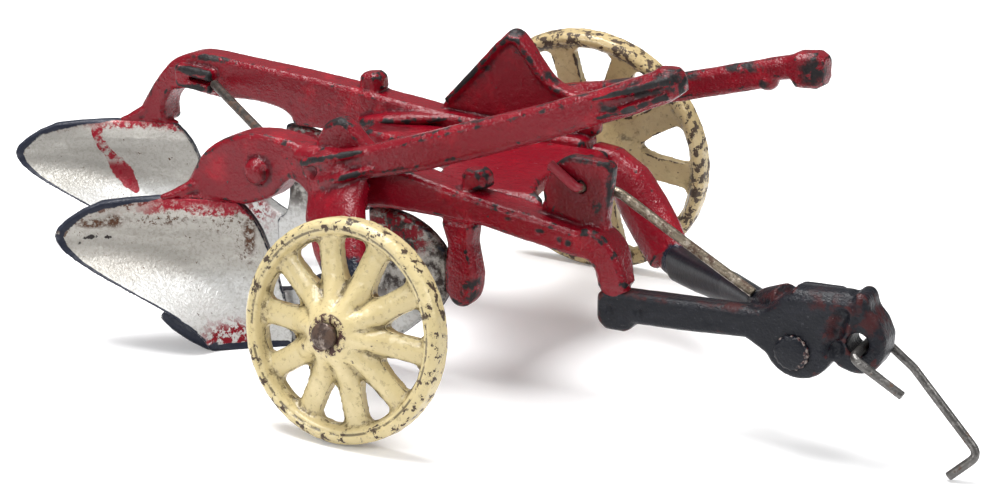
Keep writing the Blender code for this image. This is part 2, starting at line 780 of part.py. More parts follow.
def hitch_eye():
    """The strap-like eye at the front, joined to the drawbar."""
    outline = corners((74.0, 19.4)) + curved((76.6, 17.4), (79.6, 16.8), (82.4, 17.8), (83.8, 20.4))
    outline += curved((84.0, 23.0), (82.8, 25.6), (81.2, 27.4), (80.4, 29.6), (78.8, 29.9), (77.0, 27.6))
    outline += corners((74.4, 24.6))
    y_high = EYE_LOW_Y + LOOP_WIDTH
    return upright_plate_of(
        "hitch_eye", outline, EYE_LOW_Y, y_high, black_paint("hitch_eye"), 0.7 * MM
    )


def left_drawbar_bar():
    """The black bar that runs in from the left arm to the hitch cheek."""
    start = (LEFT_MIDDLE_Y - LEFT_ARM_SWEEP) / MM - 1.8
    stop = (RIGHT_FACE_Y + 1.5 * HITCH_PLATE + CLEARANCE) / MM + 0.8
    run = stop - start
    stations = (
        (33.0, start, 17.6, 4.6, 6.6),
        (40.3, start + 0.24 * run, 18.6, 4.6, 6.2),
        (50.4, start + 0.594 * run, 20.6, 4.4, 5.4),
        (60.0, stop, 22.8, 4.2, 4.8),
    )
    return bar_of("left_drawbar", stations, 0.0, black_paint("left_drawbar"))


def hitch_cheek():
    """The inner cheek of the hitch, riveted to the right bar's boss."""
    y_low = RIGHT_FACE_Y + HITCH_PLATE + CLEARANCE
    outline = corners((61.8, 19.6)) + arc((HITCH_X, HITCH_Z), HITCH_BOSS_RADIUS - 0.8 * MM, 208, 316, 7)
    outline += corners((73.3, 24.2), (75.0, 27.0), (75.0, 27.7), (74.2, 28.3), (67.4, 28.0), (65.8, 26.2), (61.8, 25.2))
    made = upright_plate_of(
        "hitch_cheek", outline, y_low, y_low + HITCH_PLATE, black_paint("hitch_cheek"), 0.6 * MM
    )
    hitch_hole(made, "cheek_rivet_hole", RIVET_X, RIVET_Z, HITCH_RIVET_RADIUS + CLEARANCE)
    return made


def hitch_rivet():
    """The hitch rivet, with a fluted head outside and a plain one inside."""
    shape = bmesh.new()
    through = 2 * HITCH_PLATE + CLEARANCE
    levels = (
        (0.35, HITCH_HEAD_RADIUS, -1.5 * MM, 0.0),
        (0.8, HITCH_HEAD_RADIUS, -1.3 * MM, 0.0),
        (1.0, HITCH_HEAD_RADIUS, -0.9 * MM, 1.0),
        (1.0, HITCH_HEAD_RADIUS, -CLEARANCE, 1.0),
        (1.0, HITCH_RIVET_RADIUS, -CLEARANCE + 0.01 * MM, 0.0),
        (1.0, HITCH_RIVET_RADIUS, through + CLEARANCE, 0.0),
        (1.0, 0.8 * HITCH_HEAD_RADIUS, through + CLEARANCE + 0.01 * MM, 0.0),
        (0.9, 0.8 * HITCH_HEAD_RADIUS, through + 1.3 * MM, 0.0),
    )
    rings = []
    for swell, radius, depth, fluted in levels:
        ring = []
        for step in range(2 * RIVET_FLUTES):
            angle = math.pi * step / RIVET_FLUTES
            groove = 1.0 - 0.08 * fluted * (step % 2)
            reach = swell * radius * groove
            ring.append(
                shape.verts.new(
                    (
                        RIVET_X + reach * math.cos(angle),
                        RIGHT_FACE_Y + depth,
                        RIVET_Z + reach * math.sin(angle),
                    )
                )
            )
        rings.append(ring)
    skin_rings(shape, rings)
    return make_object("hitch_rivet", shape, black_paint("hitch_rivet"))


def wire_hook():
    """The bent steel wire that hangs in the eye and trails to the floor."""
    lift = HOOK_DIAMETER / 2
    near = RIGHT_FACE_Y - 3.2 * MM
    far = EYE_LOW_Y + LOOP_WIDTH + 2.1 * MM
    points = [
        Vector((89.0 * MM, near - 0.8 * MM, 16.6 * MM)),
        Vector((HOOK_X, near, HOOK_Z)),
        Vector((HOOK_X, far, HOOK_Z)),
        Vector((87.0 * MM, far - 1.2 * MM, 16.8 * MM)),
        Vector((99.6 * MM, far - 3.8 * MM, 5.0 * MM)),
        Vector((95.2 * MM, far - 5.2 * MM, lift)),
    ]
    pivot = Vector((HOOK_X, HOOK_PIVOT_Y, HOOK_Z))
    path = [point - pivot for point in rounded_path(points, 1.8 * MM)]
    made = rod_of("wire_hook", path, HOOK_DIAMETER, steel("wire_hook"))
    made.location = pivot
    return made


# Rods and rivets


def brace_rod():
    """The straight steel rod that braces the right standard from the left beam."""
    ends = [
        Vector((-76.2 * MM, LEFT_FACE_Y - 2.2 * MM, 38.4 * MM)),
        Vector((-36.6 * MM, RIGHT_INNER_Y + 1.1 * MM, 35.2 * MM)),
    ]
    return rod_of("brace_rod", ends, BRACE_DIAMETER, steel("brace_rod"))


def brace_clip():
    """The two-ribbed clip that holds the brace rod's end on the left beam."""
    y_high = LEFT_FACE_Y - CLEARANCE
    outline = corners((-86.4, 41.4), (-86.4, 37.0), (-77.2, 36.2), (-77.2, 37.6), (-83.2, 38.2))
    outline += corners((-83.2, 39.4), (-77.2, 38.9), (-77.2, 40.8))
    return upright_plate_of(
        "brace_clip", outline, y_high - 2.2 * MM, y_high, red_paint("brace_clip"), 0.4 * MM
    )


def brace_rivet():
    """The domed head outside the right standard."""
    radius = BRACE_RIVET_RADIUS
    profile = [(radius, 0.0), (radius, 0.5 * MM)]
    for step in range(1, 5):
        angle = math.radians(19 * step)
        profile.append((radius * math.cos(angle), 0.5 * MM + 0.7 * radius * math.sin(angle)))
    made = solid_turned("brace_rivet", profile, 16, red_paint("brace_rivet"))
    made.rotation_euler = (math.pi / 2, 0.0, 0.0)
    made.location = (-37.4 * MM, RIGHT_FACE_Y - CLEARANCE, 34.6 * MM)
    return made


def lift_rod():
    """The steel rod from the upright plate to the drawbar, with its tail bent through the plate."""
    plate_low = RIGHT_FACE_Y + 2.6 * MM
    plate_high = plate_low + 2.8 * MM
    points = [
        Vector((23.2 * MM, plate_low - 1.4 * MM, 44.2 * MM)),
        Vector((ROD_HOLE_X, plate_low - 1.4 * MM, ROD_HOLE_Z)),
        Vector((ROD_HOLE_X, plate_high + 1.5 * MM, ROD_HOLE_Z)),
        Vector((34.2 * MM, plate_high + 1.5 * MM, 38.8 * MM)),
        Vector((59.4 * MM, RIGHT_FACE_Y + 6.0 * MM, 25.5 * MM)),
    ]
    return rod_of("lift_rod", rounded_path(points, 1.3 * MM), LIFT_ROD_DIAMETER, steel("lift_rod"))


def center_on_footprint(pieces):
    """Bring the footprint's middle to the origin by moving the empty that carries the pieces."""
    bpy.context.view_layer.update()
    graph = bpy.context.evaluated_depsgraph_get()
    low = Vector((math.inf, math.inf, math.inf))
    high = -low
    for piece in pieces:
        evaluated = piece.evaluated_get(graph)
        mesh = evaluated.to_mesh()
        for vertex in mesh.vertices:
            place = evaluated.matrix_world @ vertex.co
            low = Vector(map(min, low, place))
            high = Vector(map(max, high, place))
        evaluated.to_mesh_clear()
    plow = bpy.data.objects.new("plow", None)
    bpy.context.scene.collection.objects.link(plow)
    for every in list(bpy.context.scene.collection.objects):
        if every is not plow and every.parent is None:
            every.parent = plow
    plow.location = (-(low.x + high.x) / 2, -(low.y + high.y) / 2, -low.z)
    bpy.context.view_layer.update()
    return plow


def main():
    clear_scene()
    pieces = []
    for side, dx, dy in (("right", 0.0, 0.0), ("left", -BOTTOM_SPACING_X, BOTTOM_SPACING_Y)):
        pieces.append(moldboard(side + "_moldboard", dx, dy))
        pieces.append(landside(side + "_landside", dx, dy))
        pieces.append(coulter(side + "_coulter", dx, dy))
        pieces.append(coulter_leg(side + "_coulter_leg", dx, dy))
    pieces += [right_beam(), left_beam(), left_front_arm(), cross_plate()]
    pieces += [wheel_bracket(), lever_ear(), rod_plate()]
    stud_y = (RIGHT_FACE_Y + RIGHT_INNER_Y) / 2
    pieces.append(beam_stud("right_beam_stud", 7.4 * MM, stud_y + 0.8 * MM, 36.9 * MM))
    pieces.append(beam_stud("left_beam_stud", -39.4 * MM, stud_y + BOTTOM_SPACING_Y, 40.8 * MM))

    right_wheel, right_pin, right_frame = wheel_and_pin(
        "right",
        RIGHT_WHEEL_RADIUS,
        RIGHT_AXLE_X,
        RIGHT_WHEEL_Y,
        RIGHT_CAMBER,
        -1.0,
        RIGHT_SPOKE_TURN,
        RIGHT_WINDOW_ANGLE,
    )
    left_wheel, left_pin, left_frame = wheel_and_pin(
        "left",
        LEFT_WHEEL_RADIUS,
        LEFT_AXLE_X,
        LEFT_WHEEL_Y,
        LEFT_CAMBER,
        1.0,
        LEFT_SPOKE_TURN,
        LEFT_WINDOW_ANGLE,
    )
    pieces += [right_wheel, right_pin, left_wheel, left_pin]
    right_seat = right_frame @ Vector((0.0, 0.0, -HUB_IN - CLEARANCE - 3.4 * MM))
    left_seat = left_frame @ Vector((0.0, 0.0, -HUB_IN - CLEARANCE - 3.4 * MM))
    right_leg = wheel_leg(
        "right_wheel_leg",
        (-18.0, RIGHT_FACE_Y / MM - 3.4, 35.6),
        (right_seat.x / MM, right_seat.y / MM, right_seat.z / MM - 2.6),
        12.6,
        red_paint("right_wheel_leg"),
    )
    left_leg = wheel_leg(
        "left_wheel_leg",
        (-5.0, LEFT_OUTER_Y / MM + 2.8, 37.2),
        (left_seat.x / MM, left_seat.y / MM, left_seat.z / MM - 2.6),
        14.0,
        red_paint("left_wheel_leg"),
    )
    pin_hole(right_leg, "right_leg_hole", right_frame)
    pin_hole(left_leg, "left_leg_hole", left_frame)
    pieces += [right_leg, left_leg]

    pieces += [right_lever(), left_lever()]
    pieces += [right_drawbar(), left_drawbar_bar(), hitch_cheek(), hitch_rivet()]
    pieces += [wire_hook(), brace_rod(), brace_clip(), brace_rivet(), lift_rod()]

    plow = center_on_footprint(pieces)
    print("origin moved by", [round(value, 6) for value in plow.location])
    for wheel, frame in ((right_wheel, right_frame), (left_wheel, left_frame)):
        spot = plow.matrix_world @ frame.translation
        print(wheel.name, "axle", [round(value, 6) for value in spot])
    spot = plow.matrix_world @ Vector((HOOK_X, HOOK_PIVOT_Y, HOOK_Z))
    print("hook pivot", [round(value, 6) for value in spot])


main()
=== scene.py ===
# %% [markdown]
# A cast iron toy plow with two bottoms, dressed for its portrait.
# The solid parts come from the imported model. This lesson gives each casting its rounded, sand-cast
# skin, gives every surface its paint, rust and bare metal, and lights it on a pale table.

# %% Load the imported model
import json
import math

import bmesh
import bpy
import numpy as np
from mathutils import Matrix, Vector, noise


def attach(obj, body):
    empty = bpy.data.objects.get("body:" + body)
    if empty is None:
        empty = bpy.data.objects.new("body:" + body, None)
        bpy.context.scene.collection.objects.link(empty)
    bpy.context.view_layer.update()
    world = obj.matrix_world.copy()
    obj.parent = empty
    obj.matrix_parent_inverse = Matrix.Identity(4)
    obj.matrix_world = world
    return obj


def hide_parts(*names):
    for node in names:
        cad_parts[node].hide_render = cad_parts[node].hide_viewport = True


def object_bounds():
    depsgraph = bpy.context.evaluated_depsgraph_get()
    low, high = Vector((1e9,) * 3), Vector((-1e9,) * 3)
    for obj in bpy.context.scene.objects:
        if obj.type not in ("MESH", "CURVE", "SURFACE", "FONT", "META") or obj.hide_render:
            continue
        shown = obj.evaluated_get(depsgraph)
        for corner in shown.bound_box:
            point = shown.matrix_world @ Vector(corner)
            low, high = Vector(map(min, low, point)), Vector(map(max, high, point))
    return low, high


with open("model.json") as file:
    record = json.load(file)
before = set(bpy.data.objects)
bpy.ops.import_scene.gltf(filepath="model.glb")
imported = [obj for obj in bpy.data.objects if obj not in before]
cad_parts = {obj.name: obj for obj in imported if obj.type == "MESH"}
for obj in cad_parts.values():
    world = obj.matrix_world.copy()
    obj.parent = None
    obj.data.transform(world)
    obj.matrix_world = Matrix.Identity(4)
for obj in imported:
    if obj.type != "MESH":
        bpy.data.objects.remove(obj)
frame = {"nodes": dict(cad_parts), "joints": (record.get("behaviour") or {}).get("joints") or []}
size_at_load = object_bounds()
joints = {joint["name"]: joint for joint in frame["joints"]}

# %% [markdown]
# Places on the toy are easiest to read from a drawing. The drawing is in millimetres, with X = 0 at
# the right axle, Y = 0 midway between the wheels and Z = 0 on the floor. One factor brings it to
# the toy's real size, and the right wheel's joint says where the drawing's zero lies. The left plow
# bottom is the right one's twin, so one step back and across carries places from one to the other.

# %% From the drawing to the model
DRAWN = 0.966e-3
RIGHT_AXLE_OUT = 48.5
TO_LEFT = (-46.5, 40.0)
axle_place = Vector(joints["right_wheel_spin"]["pos_m"])
zero = Vector((axle_place.x, axle_place.y + RIGHT_AXLE_OUT * DRAWN, 0.0))


def place(x, y, z):
    """A point of the drawing, in the model's metres."""
    return Vector((x, y, z)) * DRAWN + zero


def shifted(run, dx, dy):
    """The same places, carried dx along the toy and dy across it."""
    return [(x + dx, y + dy, z, *rest) for x, y, z, *rest in run]


print("the drawing's zero is at", [round(value, 5) for value in zero])

# %% [markdown]
# Materials are node trees. Writing them by hand is long, so a few helpers do the wiring: one adds a
# node and connects whatever it is given, one does sums, and one lays a colour over another.

# %% Helpers that wire nodes


def put(tree, kind, inputs=None, **settings):
    """Add a node; each input is a value, or a socket to connect."""
    made = tree.nodes.new(kind)
    for name, value in settings.items():
        setattr(made, name, value)
    for key, value in (inputs or {}).items():
        if isinstance(value, bpy.types.NodeSocket):
            tree.links.new(value, made.inputs[key])
        else:
            made.inputs[key].default_value = value
    return made


def reckon(tree, operation, *values):
    """One step of arithmetic on numbers or sockets."""
    return put(tree, "ShaderNodeMath", dict(enumerate(values)), operation=operation).outputs[0]


def times(tree, first, second):
    """One mask or number multiplied by another."""
    return reckon(tree, "MULTIPLY", first, second)


def vector_sum(tree, operation, *values):
    """One step of arithmetic on vectors."""
    return put(tree, "ShaderNodeVectorMath", dict(enumerate(values)), operation=operation)


def ramp(tree, value, start, stop, low=0.0, high=1.0):
    """low before start, high after stop, and a smooth run between them."""
    keys = {0: value, 1: start, 2: stop, 3: low, 4: high}
    return put(tree, "ShaderNodeMapRange", keys, interpolation_type="SMOOTHSTEP").outputs[0]


def over(tree, mask, under, top):
    """One colour over another, where the mask is 1."""
    return put(tree, "ShaderNodeMix", {0: mask, 6: under, 7: top}, data_type="RGBA").outputs[2]


def between(tree, mask, low, high):
    """A number that runs from low to high as the mask runs from 0 to 1."""
    return put(tree, "ShaderNodeMapRange", {0: mask, 3: low, 4: high}).outputs[0]


def rough_noise(tree, spot, scale, detail=5.0, roughness=0.62):
    """Cloudy noise around 0.5; scale is in lumps per metre."""
    keys = {"Vector": spot, "Scale": scale, "Detail": detail, "Roughness": roughness}
    return put(tree, "ShaderNodeTexNoise", keys).outputs[0]


def spot_in(tree):
    """Where on the model the surface is, in metres."""
    return put(tree, "ShaderNodeTexCoord").outputs["Object"]


def new_group(name, inputs, outputs):
    """An empty node group with named sockets, and its two end nodes."""
    tree = bpy.data.node_groups.new(name, "ShaderNodeTree")
    for label, value in inputs.items():
        kind = "NodeSocketVector" if isinstance(value, tuple) else "NodeSocketFloat"
        socket = tree.interface.new_socket(label, in_out="INPUT", socket_type=kind)
        socket.default_value = value
    for label in outputs:
        tree.interface.new_socket(label, in_out="OUTPUT", socket_type="NodeSocketFloat")
    return tree, tree.nodes.new("NodeGroupInput").outputs, tree.nodes.new("NodeGroupOutput").inputs


def use(tree, group, **values):
    """Place a group in a material and set its inputs by name."""
    return put(tree, "ShaderNodeGroup", values, node_tree=group).outputs


print("wiring helpers ready")

# %% [markdown]
# Paint on old iron wears first where the iron stands proud, and grime gathers where it is hollow.
# Further down, each skin gets a value at every vertex that says how proud it stands, in tenths of
# a millimetre. This group turns that value into two masks, with noise to break up their rims.

# %% Edge wear and grime, as a group
edge_wear, given, wanted = new_group(
    "edge wear",
    {"Start": 1.0, "Softness": 0.3, "Breakup": 1.5, "Grain": 700.0},
    ["Worn", "Grime"],
)
spot = spot_in(edge_wear)
proud = put(edge_wear, "ShaderNodeAttribute", attribute_name="proud").outputs["Fac"]
ragged = reckon(edge_wear, "SUBTRACT", rough_noise(edge_wear, spot, given["Grain"]), 0.5)
ragged = times(edge_wear, ragged, given["Breakup"])
raised = reckon(edge_wear, "ADD", proud, ragged)
full = reckon(edge_wear, "ADD", given["Start"], given["Softness"])
edge_wear.links.new(ramp(edge_wear, raised, given["Start"], full), wanted["Worn"])
sunk = reckon(edge_wear, "SUBTRACT", ragged, proud)
edge_wear.links.new(ramp(edge_wear, sunk, 0.25, 1.1), wanted["Grime"])
print("group:", edge_wear.name)

# %% [markdown]
# A patch is a soft-edged ellipsoid somewhere on the toy: a rubbed spot, a rust bloom, a spill of
# the next colour. Noise makes its rim ragged.

# %% A patch somewhere on the toy, as a group
patch, given, wanted = new_group(
    "patch",
    {
        "Centre": (0.0, 0.0, 0.0),
        "Reach": (0.01, 0.01, 0.01),
        "Softness": 0.3,
        "Ragged": 0.5,
        "Grain": 400.0,
    },
    ["Mask"],
)
spot = spot_in(patch)
away = vector_sum(patch, "SUBTRACT", spot, given["Centre"]).outputs[0]
away = vector_sum(patch, "DIVIDE", away, given["Reach"]).outputs[0]
far = vector_sum(patch, "LENGTH", away).outputs["Value"]
ragged = reckon(patch, "SUBTRACT", rough_noise(patch, spot, given["Grain"]), 0.5)
far = reckon(patch, "MULTIPLY_ADD", ragged, given["Ragged"], far)
rim = reckon(patch, "SUBTRACT", 1.0, given["Softness"])
patch.links.new(ramp(patch, far, rim, 1.0, 1.0, 0.0), wanted["Mask"])
print("group:", patch.name)

# %% [markdown]
# Chips and freckles are noise with a threshold. A small cover leaves only a few specks.

# %% Specks, as a group
specks, given, wanted = new_group(
    "specks",
    {"Grain": 600.0, "Cover": 0.3, "Softness": 0.03, "Stretch": (1.0, 1.0, 1.0)},
    ["Mask"],
)
spot = spot_in(specks)
spot = vector_sum(specks, "MULTIPLY", spot, given["Stretch"]).outputs[0]
grains = rough_noise(specks, spot, given["Grain"], 4.0, 0.7)
start = reckon(specks, "SUBTRACT", 0.85, given["Cover"])
stop = reckon(specks, "ADD", start, given["Softness"])
specks.links.new(ramp(specks, grains, start, stop), wanted["Mask"])
print("group:", specks.name)

# %% [markdown]
# Wheels wear in rings. This group measures how far a spot lies from an axle, in metres, so that a
# material can rust the hub and chip the rim.

# %% Distance from an axle, as a group
from_axle, given, wanted = new_group(
    "distance from an axle",
    {"Centre": (0.0, 0.0, 0.0), "Axis": (0.0, 1.0, 0.0)},
    ["Radius"],
)
spot = spot_in(from_axle)
away = vector_sum(from_axle, "SUBTRACT", spot, given["Centre"]).outputs[0]
length = vector_sum(from_axle, "DOT_PRODUCT", away, given["Axis"]).outputs["Value"]
along = put(from_axle, "ShaderNodeVectorMath", {0: given["Axis"], "Scale": length}, operation="SCALE")
flat = vector_sum(from_axle, "SUBTRACT", away, along.outputs[0]).outputs[0]
from_axle.links.new(vector_sum(from_axle, "LENGTH", flat).outputs["Value"], wanted["Radius"])
print("group:", from_axle.name)

# %% [markdown]
# Sand casting leaves a slightly lumpy, grainy surface that even thick paint doesn't hide. Two
# sizes of noise feed the bump of every casting.

# %% Sand-cast grain, as a group
cast_grain, given, wanted = new_group("cast grain", {"Lumps": 0.6, "Grains": 0.4}, ["Height"])
spot = spot_in(cast_grain)
lumps = times(cast_grain, rough_noise(cast_grain, spot, 420.0, 3.0), given["Lumps"])
grains = rough_noise(cast_grain, spot, 2200.0, 2.0)
cast_grain.links.new(reckon(cast_grain, "MULTIPLY_ADD", grains, given["Grains"], lumps), wanted["Height"])
print("group:", cast_grain.name)

# %% [markdown]
# A paint is a stack: an undercoat, then wear, rust and grime, each laid over what is under it by a
# mask. These helpers place a patch by the drawing, join masks, break a mask into specks, and end
# every material in the same way, so that each paint's own cell reads like a recipe.

# %% Helpers for materials


def start_material(name):
    """A new material, its node tree and its Principled shader."""
    made = bpy.data.materials.new(name)
    made.use_nodes = True
    return made, made.node_tree, made.node_tree.nodes["Principled BSDF"]


def patch_at(tree, x, y, z, reach, soft=0.35, ragged=0.9, grain=500.0):
    """A patch's mask, from a place and a reach in the drawing's millimetres."""
    values = {"Centre": place(x, y, z), "Reach": Vector(reach) * DRAWN, "Softness": soft}
    return use(tree, patch, Ragged=ragged, Grain=grain, **values)[0]


def most(tree, masks):
    """The strongest of several masks."""
    result = masks[0]
    for mask in masks[1:]:
        result = reckon(tree, "MAXIMUM", result, mask)
    return result


def patches(tree, spots, **how):
    """One mask from a list of patches."""
    return most(tree, [patch_at(tree, *spot, **how) for spot in spots])


def flecks(tree, grain, cover, softness, stretch=(1.0, 1.0, 1.0)):
    """A mask of specks; grain is how many lie along a metre, and cover how much they fill."""
    return use(tree, specks, Grain=grain, Cover=cover, Softness=softness, Stretch=stretch)[0]


def speckled(tree, mask, grain, cover, softness=0.05):
    """A mask broken into specks."""
    return times(tree, mask, flecks(tree, grain, cover, softness))


def painted_line(tree, name, grain, ragged):
    """A mask from a line that is marked on the skin, with a ragged edge."""
    near = put(tree, "ShaderNodeAttribute", attribute_name=name).outputs["Fac"]
    spot = spot_in(tree)
    uneven = reckon(tree, "SUBTRACT", rough_noise(tree, spot, grain), 0.5)
    return ramp(tree, reckon(tree, "MULTIPLY_ADD", uneven, ragged, near), 0.0, 0.12)


def finish_shader(tree, shader, colour, roughness, strength, lumps, grains, distance=0.0004):
    """Connect colour, roughness and the cast grain's bump."""
    tree.links.new(colour, shader.inputs["Base Color"])
    tree.links.new(roughness, shader.inputs["Roughness"])
    height = use(tree, cast_grain, Lumps=lumps, Grains=grains)[0]
    keys = {"Height": height, "Strength": strength, "Distance": distance}
    tree.links.new(put(tree, "ShaderNodeBump", keys).outputs[0], shader.inputs["Normal"])


print("helpers for materials ready")

# %% [markdown]
# The red is a deep crimson enamel, dipped and glossy. Hands have worn it to grey-black iron on
# every edge, and in patches at the grip ends, on the ear, the triangle's tip and the rod plate.
# Wear on edges alone looks made by rule, so lists of places say where hands rubbed, where the iron
# went black, where the paint is navy, where a darker red is painted in as shade, and where it was
# kept whole.

# %% Where the red is rubbed, and where it is kept
RUBBED = (
    (-20, -19, 46.6, (4.6, 3, 1.3)),
    (41, -19.9, 59.6, (5.5, 2.5, 1.8)),
    (45, -18.5, 61.4, (3, 4, 2.6)),
    (36, -20.4, 55.6, (4, 1, 0.9)),
    (-6.4, 24, 56.2, (2.4, 4, 2)),
    (-14.2, 23, 48.4, (3.4, 2, 1.4)),
    (2, 23, 48, (3, 2, 1.6)),
    (34, -15.8, 40.4, (1.2, 3, 5.6)),
    (31.6, -17.4, 37.2, (1.2, 1, 1.6)),
    (27, -16, 45, (5, 3, 0.8)),
    (7.6, -18.8, 18.4, (2.7, 2.4, 3.6)),
    (53.8, 25.6, 54.6, (3.6, 4, 4)),
    (44.6, 25.4, 51.2, (1.6, 1.6, 1.4)),
    (28, 26.5, 51, (7, 3, 1.3)),
    (40, 26, 54, (7, 3, 1.5)),
    (15, 28, 47.8, (6, 3, 1)),
    (10, -21, 50.2, (10, 1.6, 1)),
    (26, -19, 55, (6, 2, 0.9)),
    (-78, 20, 43.4, (8, 1.4, 1)),
    (-96, 21, 35, (2, 3, 3)),
    (-30, -20, 34.5, (1.5, 1, 1)),
    (16, -19.8, 33.6, (1.6, 0.7, 0.6)),
    (22, -20, 32.2, (1.4, 0.7, 0.6)),
    (25.9, -20, 31.3, (0.8, 0.8, 0.8)),
    (27.6, -20, 30.9, (0.8, 0.8, 0.8)),
    (-1, -21, 40, (6, 1.5, 1)),
)
BLACKENED = (
    (-81.6, 17.2, 40.8, (5.2, 2.2, 1.2)),
    (-81.4, 17.2, 37, (4.6, 2.2, 0.9)),
)
DARK_PAINT = (
    (-8, -36, 19, (12, 9, 8.5)),
    (-3.4, 38, 23, (8, 8, 6)),
    (32.8, 14, 16, (3.4, 6, 6)),
)
# Painted shade: on the rod plate and under the web's ledge, a darker red stands in for shade.
PAINTED_SHADE_PLACES = (
    (29, -18, 38, (8, 4, 7)),
    (-31, 13.6, 35.4, (9, 4.6, 2)),
)
KEPT = (
    (-37.8, -22.4, 34.9, (3.4, 2.5, 3.4)),
    (-56, -21.5, 28, (4, 4, 3)),
    (-101, 19.5, 28, (4, 4, 3)),
    (-91, 22, 27.5, (4, 3, 3)),
    (-40, 19.4, 34.6, (2, 3, 2)),
)
print(len(RUBBED), "rubbed places and", len(KEPT), "kept ones")

# %% Red enamel
DEEP_RED, FULL_RED = (0.17, 0.002, 0.009, 1), (0.31, 0.003, 0.013, 1)
RED_GRIME = (0.05, 0.002, 0.006, 1)
# The colour of the painted shade.
PAINTED_SHADE_RED = (0.09, 0.001, 0.005, 1)
NAVY_UNDER_RED = (0.008, 0.011, 0.022, 1)
DARK_IRON, GREY_IRON = (0.012, 0.01, 0.011, 1), (0.045, 0.037, 0.037, 1)


def red_enamel():
    made, tree, shader = start_material("red_enamel")
    tone = flecks(tree, 140.0, 0.35, 0.3)
    colour = over(tree, tone, DEEP_RED, FULL_RED)
    worn, grime = use(tree, edge_wear, Start=0.9, Softness=0.35, Breakup=3.4, Grain=460.0)
    worn = times(tree, worn, between(tree, patches(tree, KEPT), 1.0, 0.0))
    colour = over(tree, times(tree, grime, 0.75), colour, RED_GRIME)
    # Painted shade: a darker red laid over the places where shade falls.
    shade = patches(tree, PAINTED_SHADE_PLACES, soft=0.6)
    colour = over(tree, times(tree, shade, 0.95), colour, PAINTED_SHADE_RED)
    navy = patches(tree, DARK_PAINT, soft=0.12, ragged=0.5)
    colour = over(tree, navy, colour, NAVY_UNDER_RED)
    rubbed = speckled(tree, patches(tree, RUBBED, soft=0.5, ragged=1.3), 600.0, 0.44, 0.07)
    black = patches(tree, BLACKENED, soft=0.3, ragged=1.0)
    chips = flecks(tree, 380.0, 0.165, 0.02)
    bare = most(tree, [worn, rubbed, chips, black])
    colour = over(tree, bare, colour, over(tree, tone, DARK_IRON, GREY_IRON))
    tree.links.new(between(tree, bare, 0.0, 0.3), shader.inputs["Metallic"])
    shader.inputs["Specular IOR Level"].default_value = 0.32
    rough = between(tree, bare, 0.2, 0.46)
    finish_shader(tree, shader, colour, rough, strength=0.8, lumps=0.8, grains=0.35, distance=0.0005)
    return made


red_iron = red_enamel()
print("material:", red_iron.name)

# %% [markdown]
# The moldboards, landsides and coulters are brushed with aluminium paint on their working face.
# Rims and backs keep the navy dip. The red of the standards was brushed on last and ran down
# over the top edge, and rust shows through in freckles. An image painted by hand would show all
# that too, but places and heights can be read and changed: lists say where the marks of the right
# bottom are, and the step to the left bottom carries along the ones that it shares.

# %% Places on a plow bottom
WORKING_FACE = Vector((0.53, -0.8, 0.28)).normalized()
SPATTER = (
    (-43, -26, 1.8, (12, 8, 4.8)),
    (-8, -19, 27, (9, 3, 7)),
    (-24, -18, 14, (8, 4, 12)),
)
FRECKLES = (
    (-46, -20, 23.4, (9, 5, 3.6)),
    (-58, -25, 23.6, (12, 8, 2.2)),
    (-42, -19.4, 19, (3, 4, 6)),
)
RUST = (
    (-64.6, -30.2, 23.4, (2.3, 2.4, 1.7)),
    (-67.6, -32.4, 23.2, (4.6, 4, 1.2)),
    (-40.8, -18.9, 21, (1.8, 2, 5)),
)
CHIPS = (
    (-67.9, -33, 20.5, (1.1, 2, 0.5)),
    (-69.2, -34.5, 19.6, (0.4, 2, 0.4)),
    (-65.4, -31.2, 20.2, (0.6, 2, 0.4)),
)


def along_toy(tree, level, dx, start, stop, low=0.0, high=1.0):
    """A ramp along the toy, between two places of the drawing moved by dx."""
    return ramp(tree, level["X"], place(start + dx, 0, 0).x, place(stop + dx, 0, 0).x, low, high)


print(len(SPATTER + FRECKLES + RUST + CHIPS), "places on the right bottom")

# %% [markdown]
# A bottom's paint went on in coats, and a long recipe reads best coat by coat. Each function below
# gives the mask or the colour of one coat: silver, rust, the red that ran over, and the navy rim.

# %% Silver and rust
NEAR_SILVER = ((0.37, 0.355, 0.325, 1), (0.51, 0.495, 0.46, 1))
# The far bottom has the same paint; its darker silver is painted shade.
FAR_SILVER_IN_PAINTED_SHADE = ((0.32, 0.31, 0.285, 1), (0.44, 0.425, 0.395, 1))
# Painted highlight: the lighter silver of the lower blade, and how high and how far along it reaches.
PAINTED_HIGHLIGHT_SILVER = (0.55, 0.555, 0.545, 1)
SALT_GREY = (0.22, 0.2, 0.17, 1)
PAINTED_HIGHLIGHT_UP_TO = (0.0128, 0.0168)
PAINTED_HIGHLIGHT_FROM_TIP = (-68, -54)
RUST_FROM_HEIGHT = (0.0175, 0.02)


def silver_coat(tree, spot, level, cloud, salt, dx, near):
    """Clouded aluminium, with a painted highlight low on the blade, and fine dark specks."""
    colour = over(tree, cloud, *(NEAR_SILVER if near else FAR_SILVER_IN_PAINTED_SHADE))
    drift = reckon(tree, "MULTIPLY_ADD", rough_noise(tree, spot, 120.0, 3.0), 0.004, level["Z"])
    # Painted highlight: low on the blade the silver is lighter, where the hollow face catches the light.
    bright = ramp(tree, drift, *PAINTED_HIGHLIGHT_UP_TO, 0.9, 0.0)
    bright = times(tree, bright, along_toy(tree, level, dx, *PAINTED_HIGHLIGHT_FROM_TIP))
    colour = over(tree, bright, colour, PAINTED_HIGHLIGHT_SILVER)
    return over(tree, times(tree, salt, 0.3), colour, SALT_GREY)


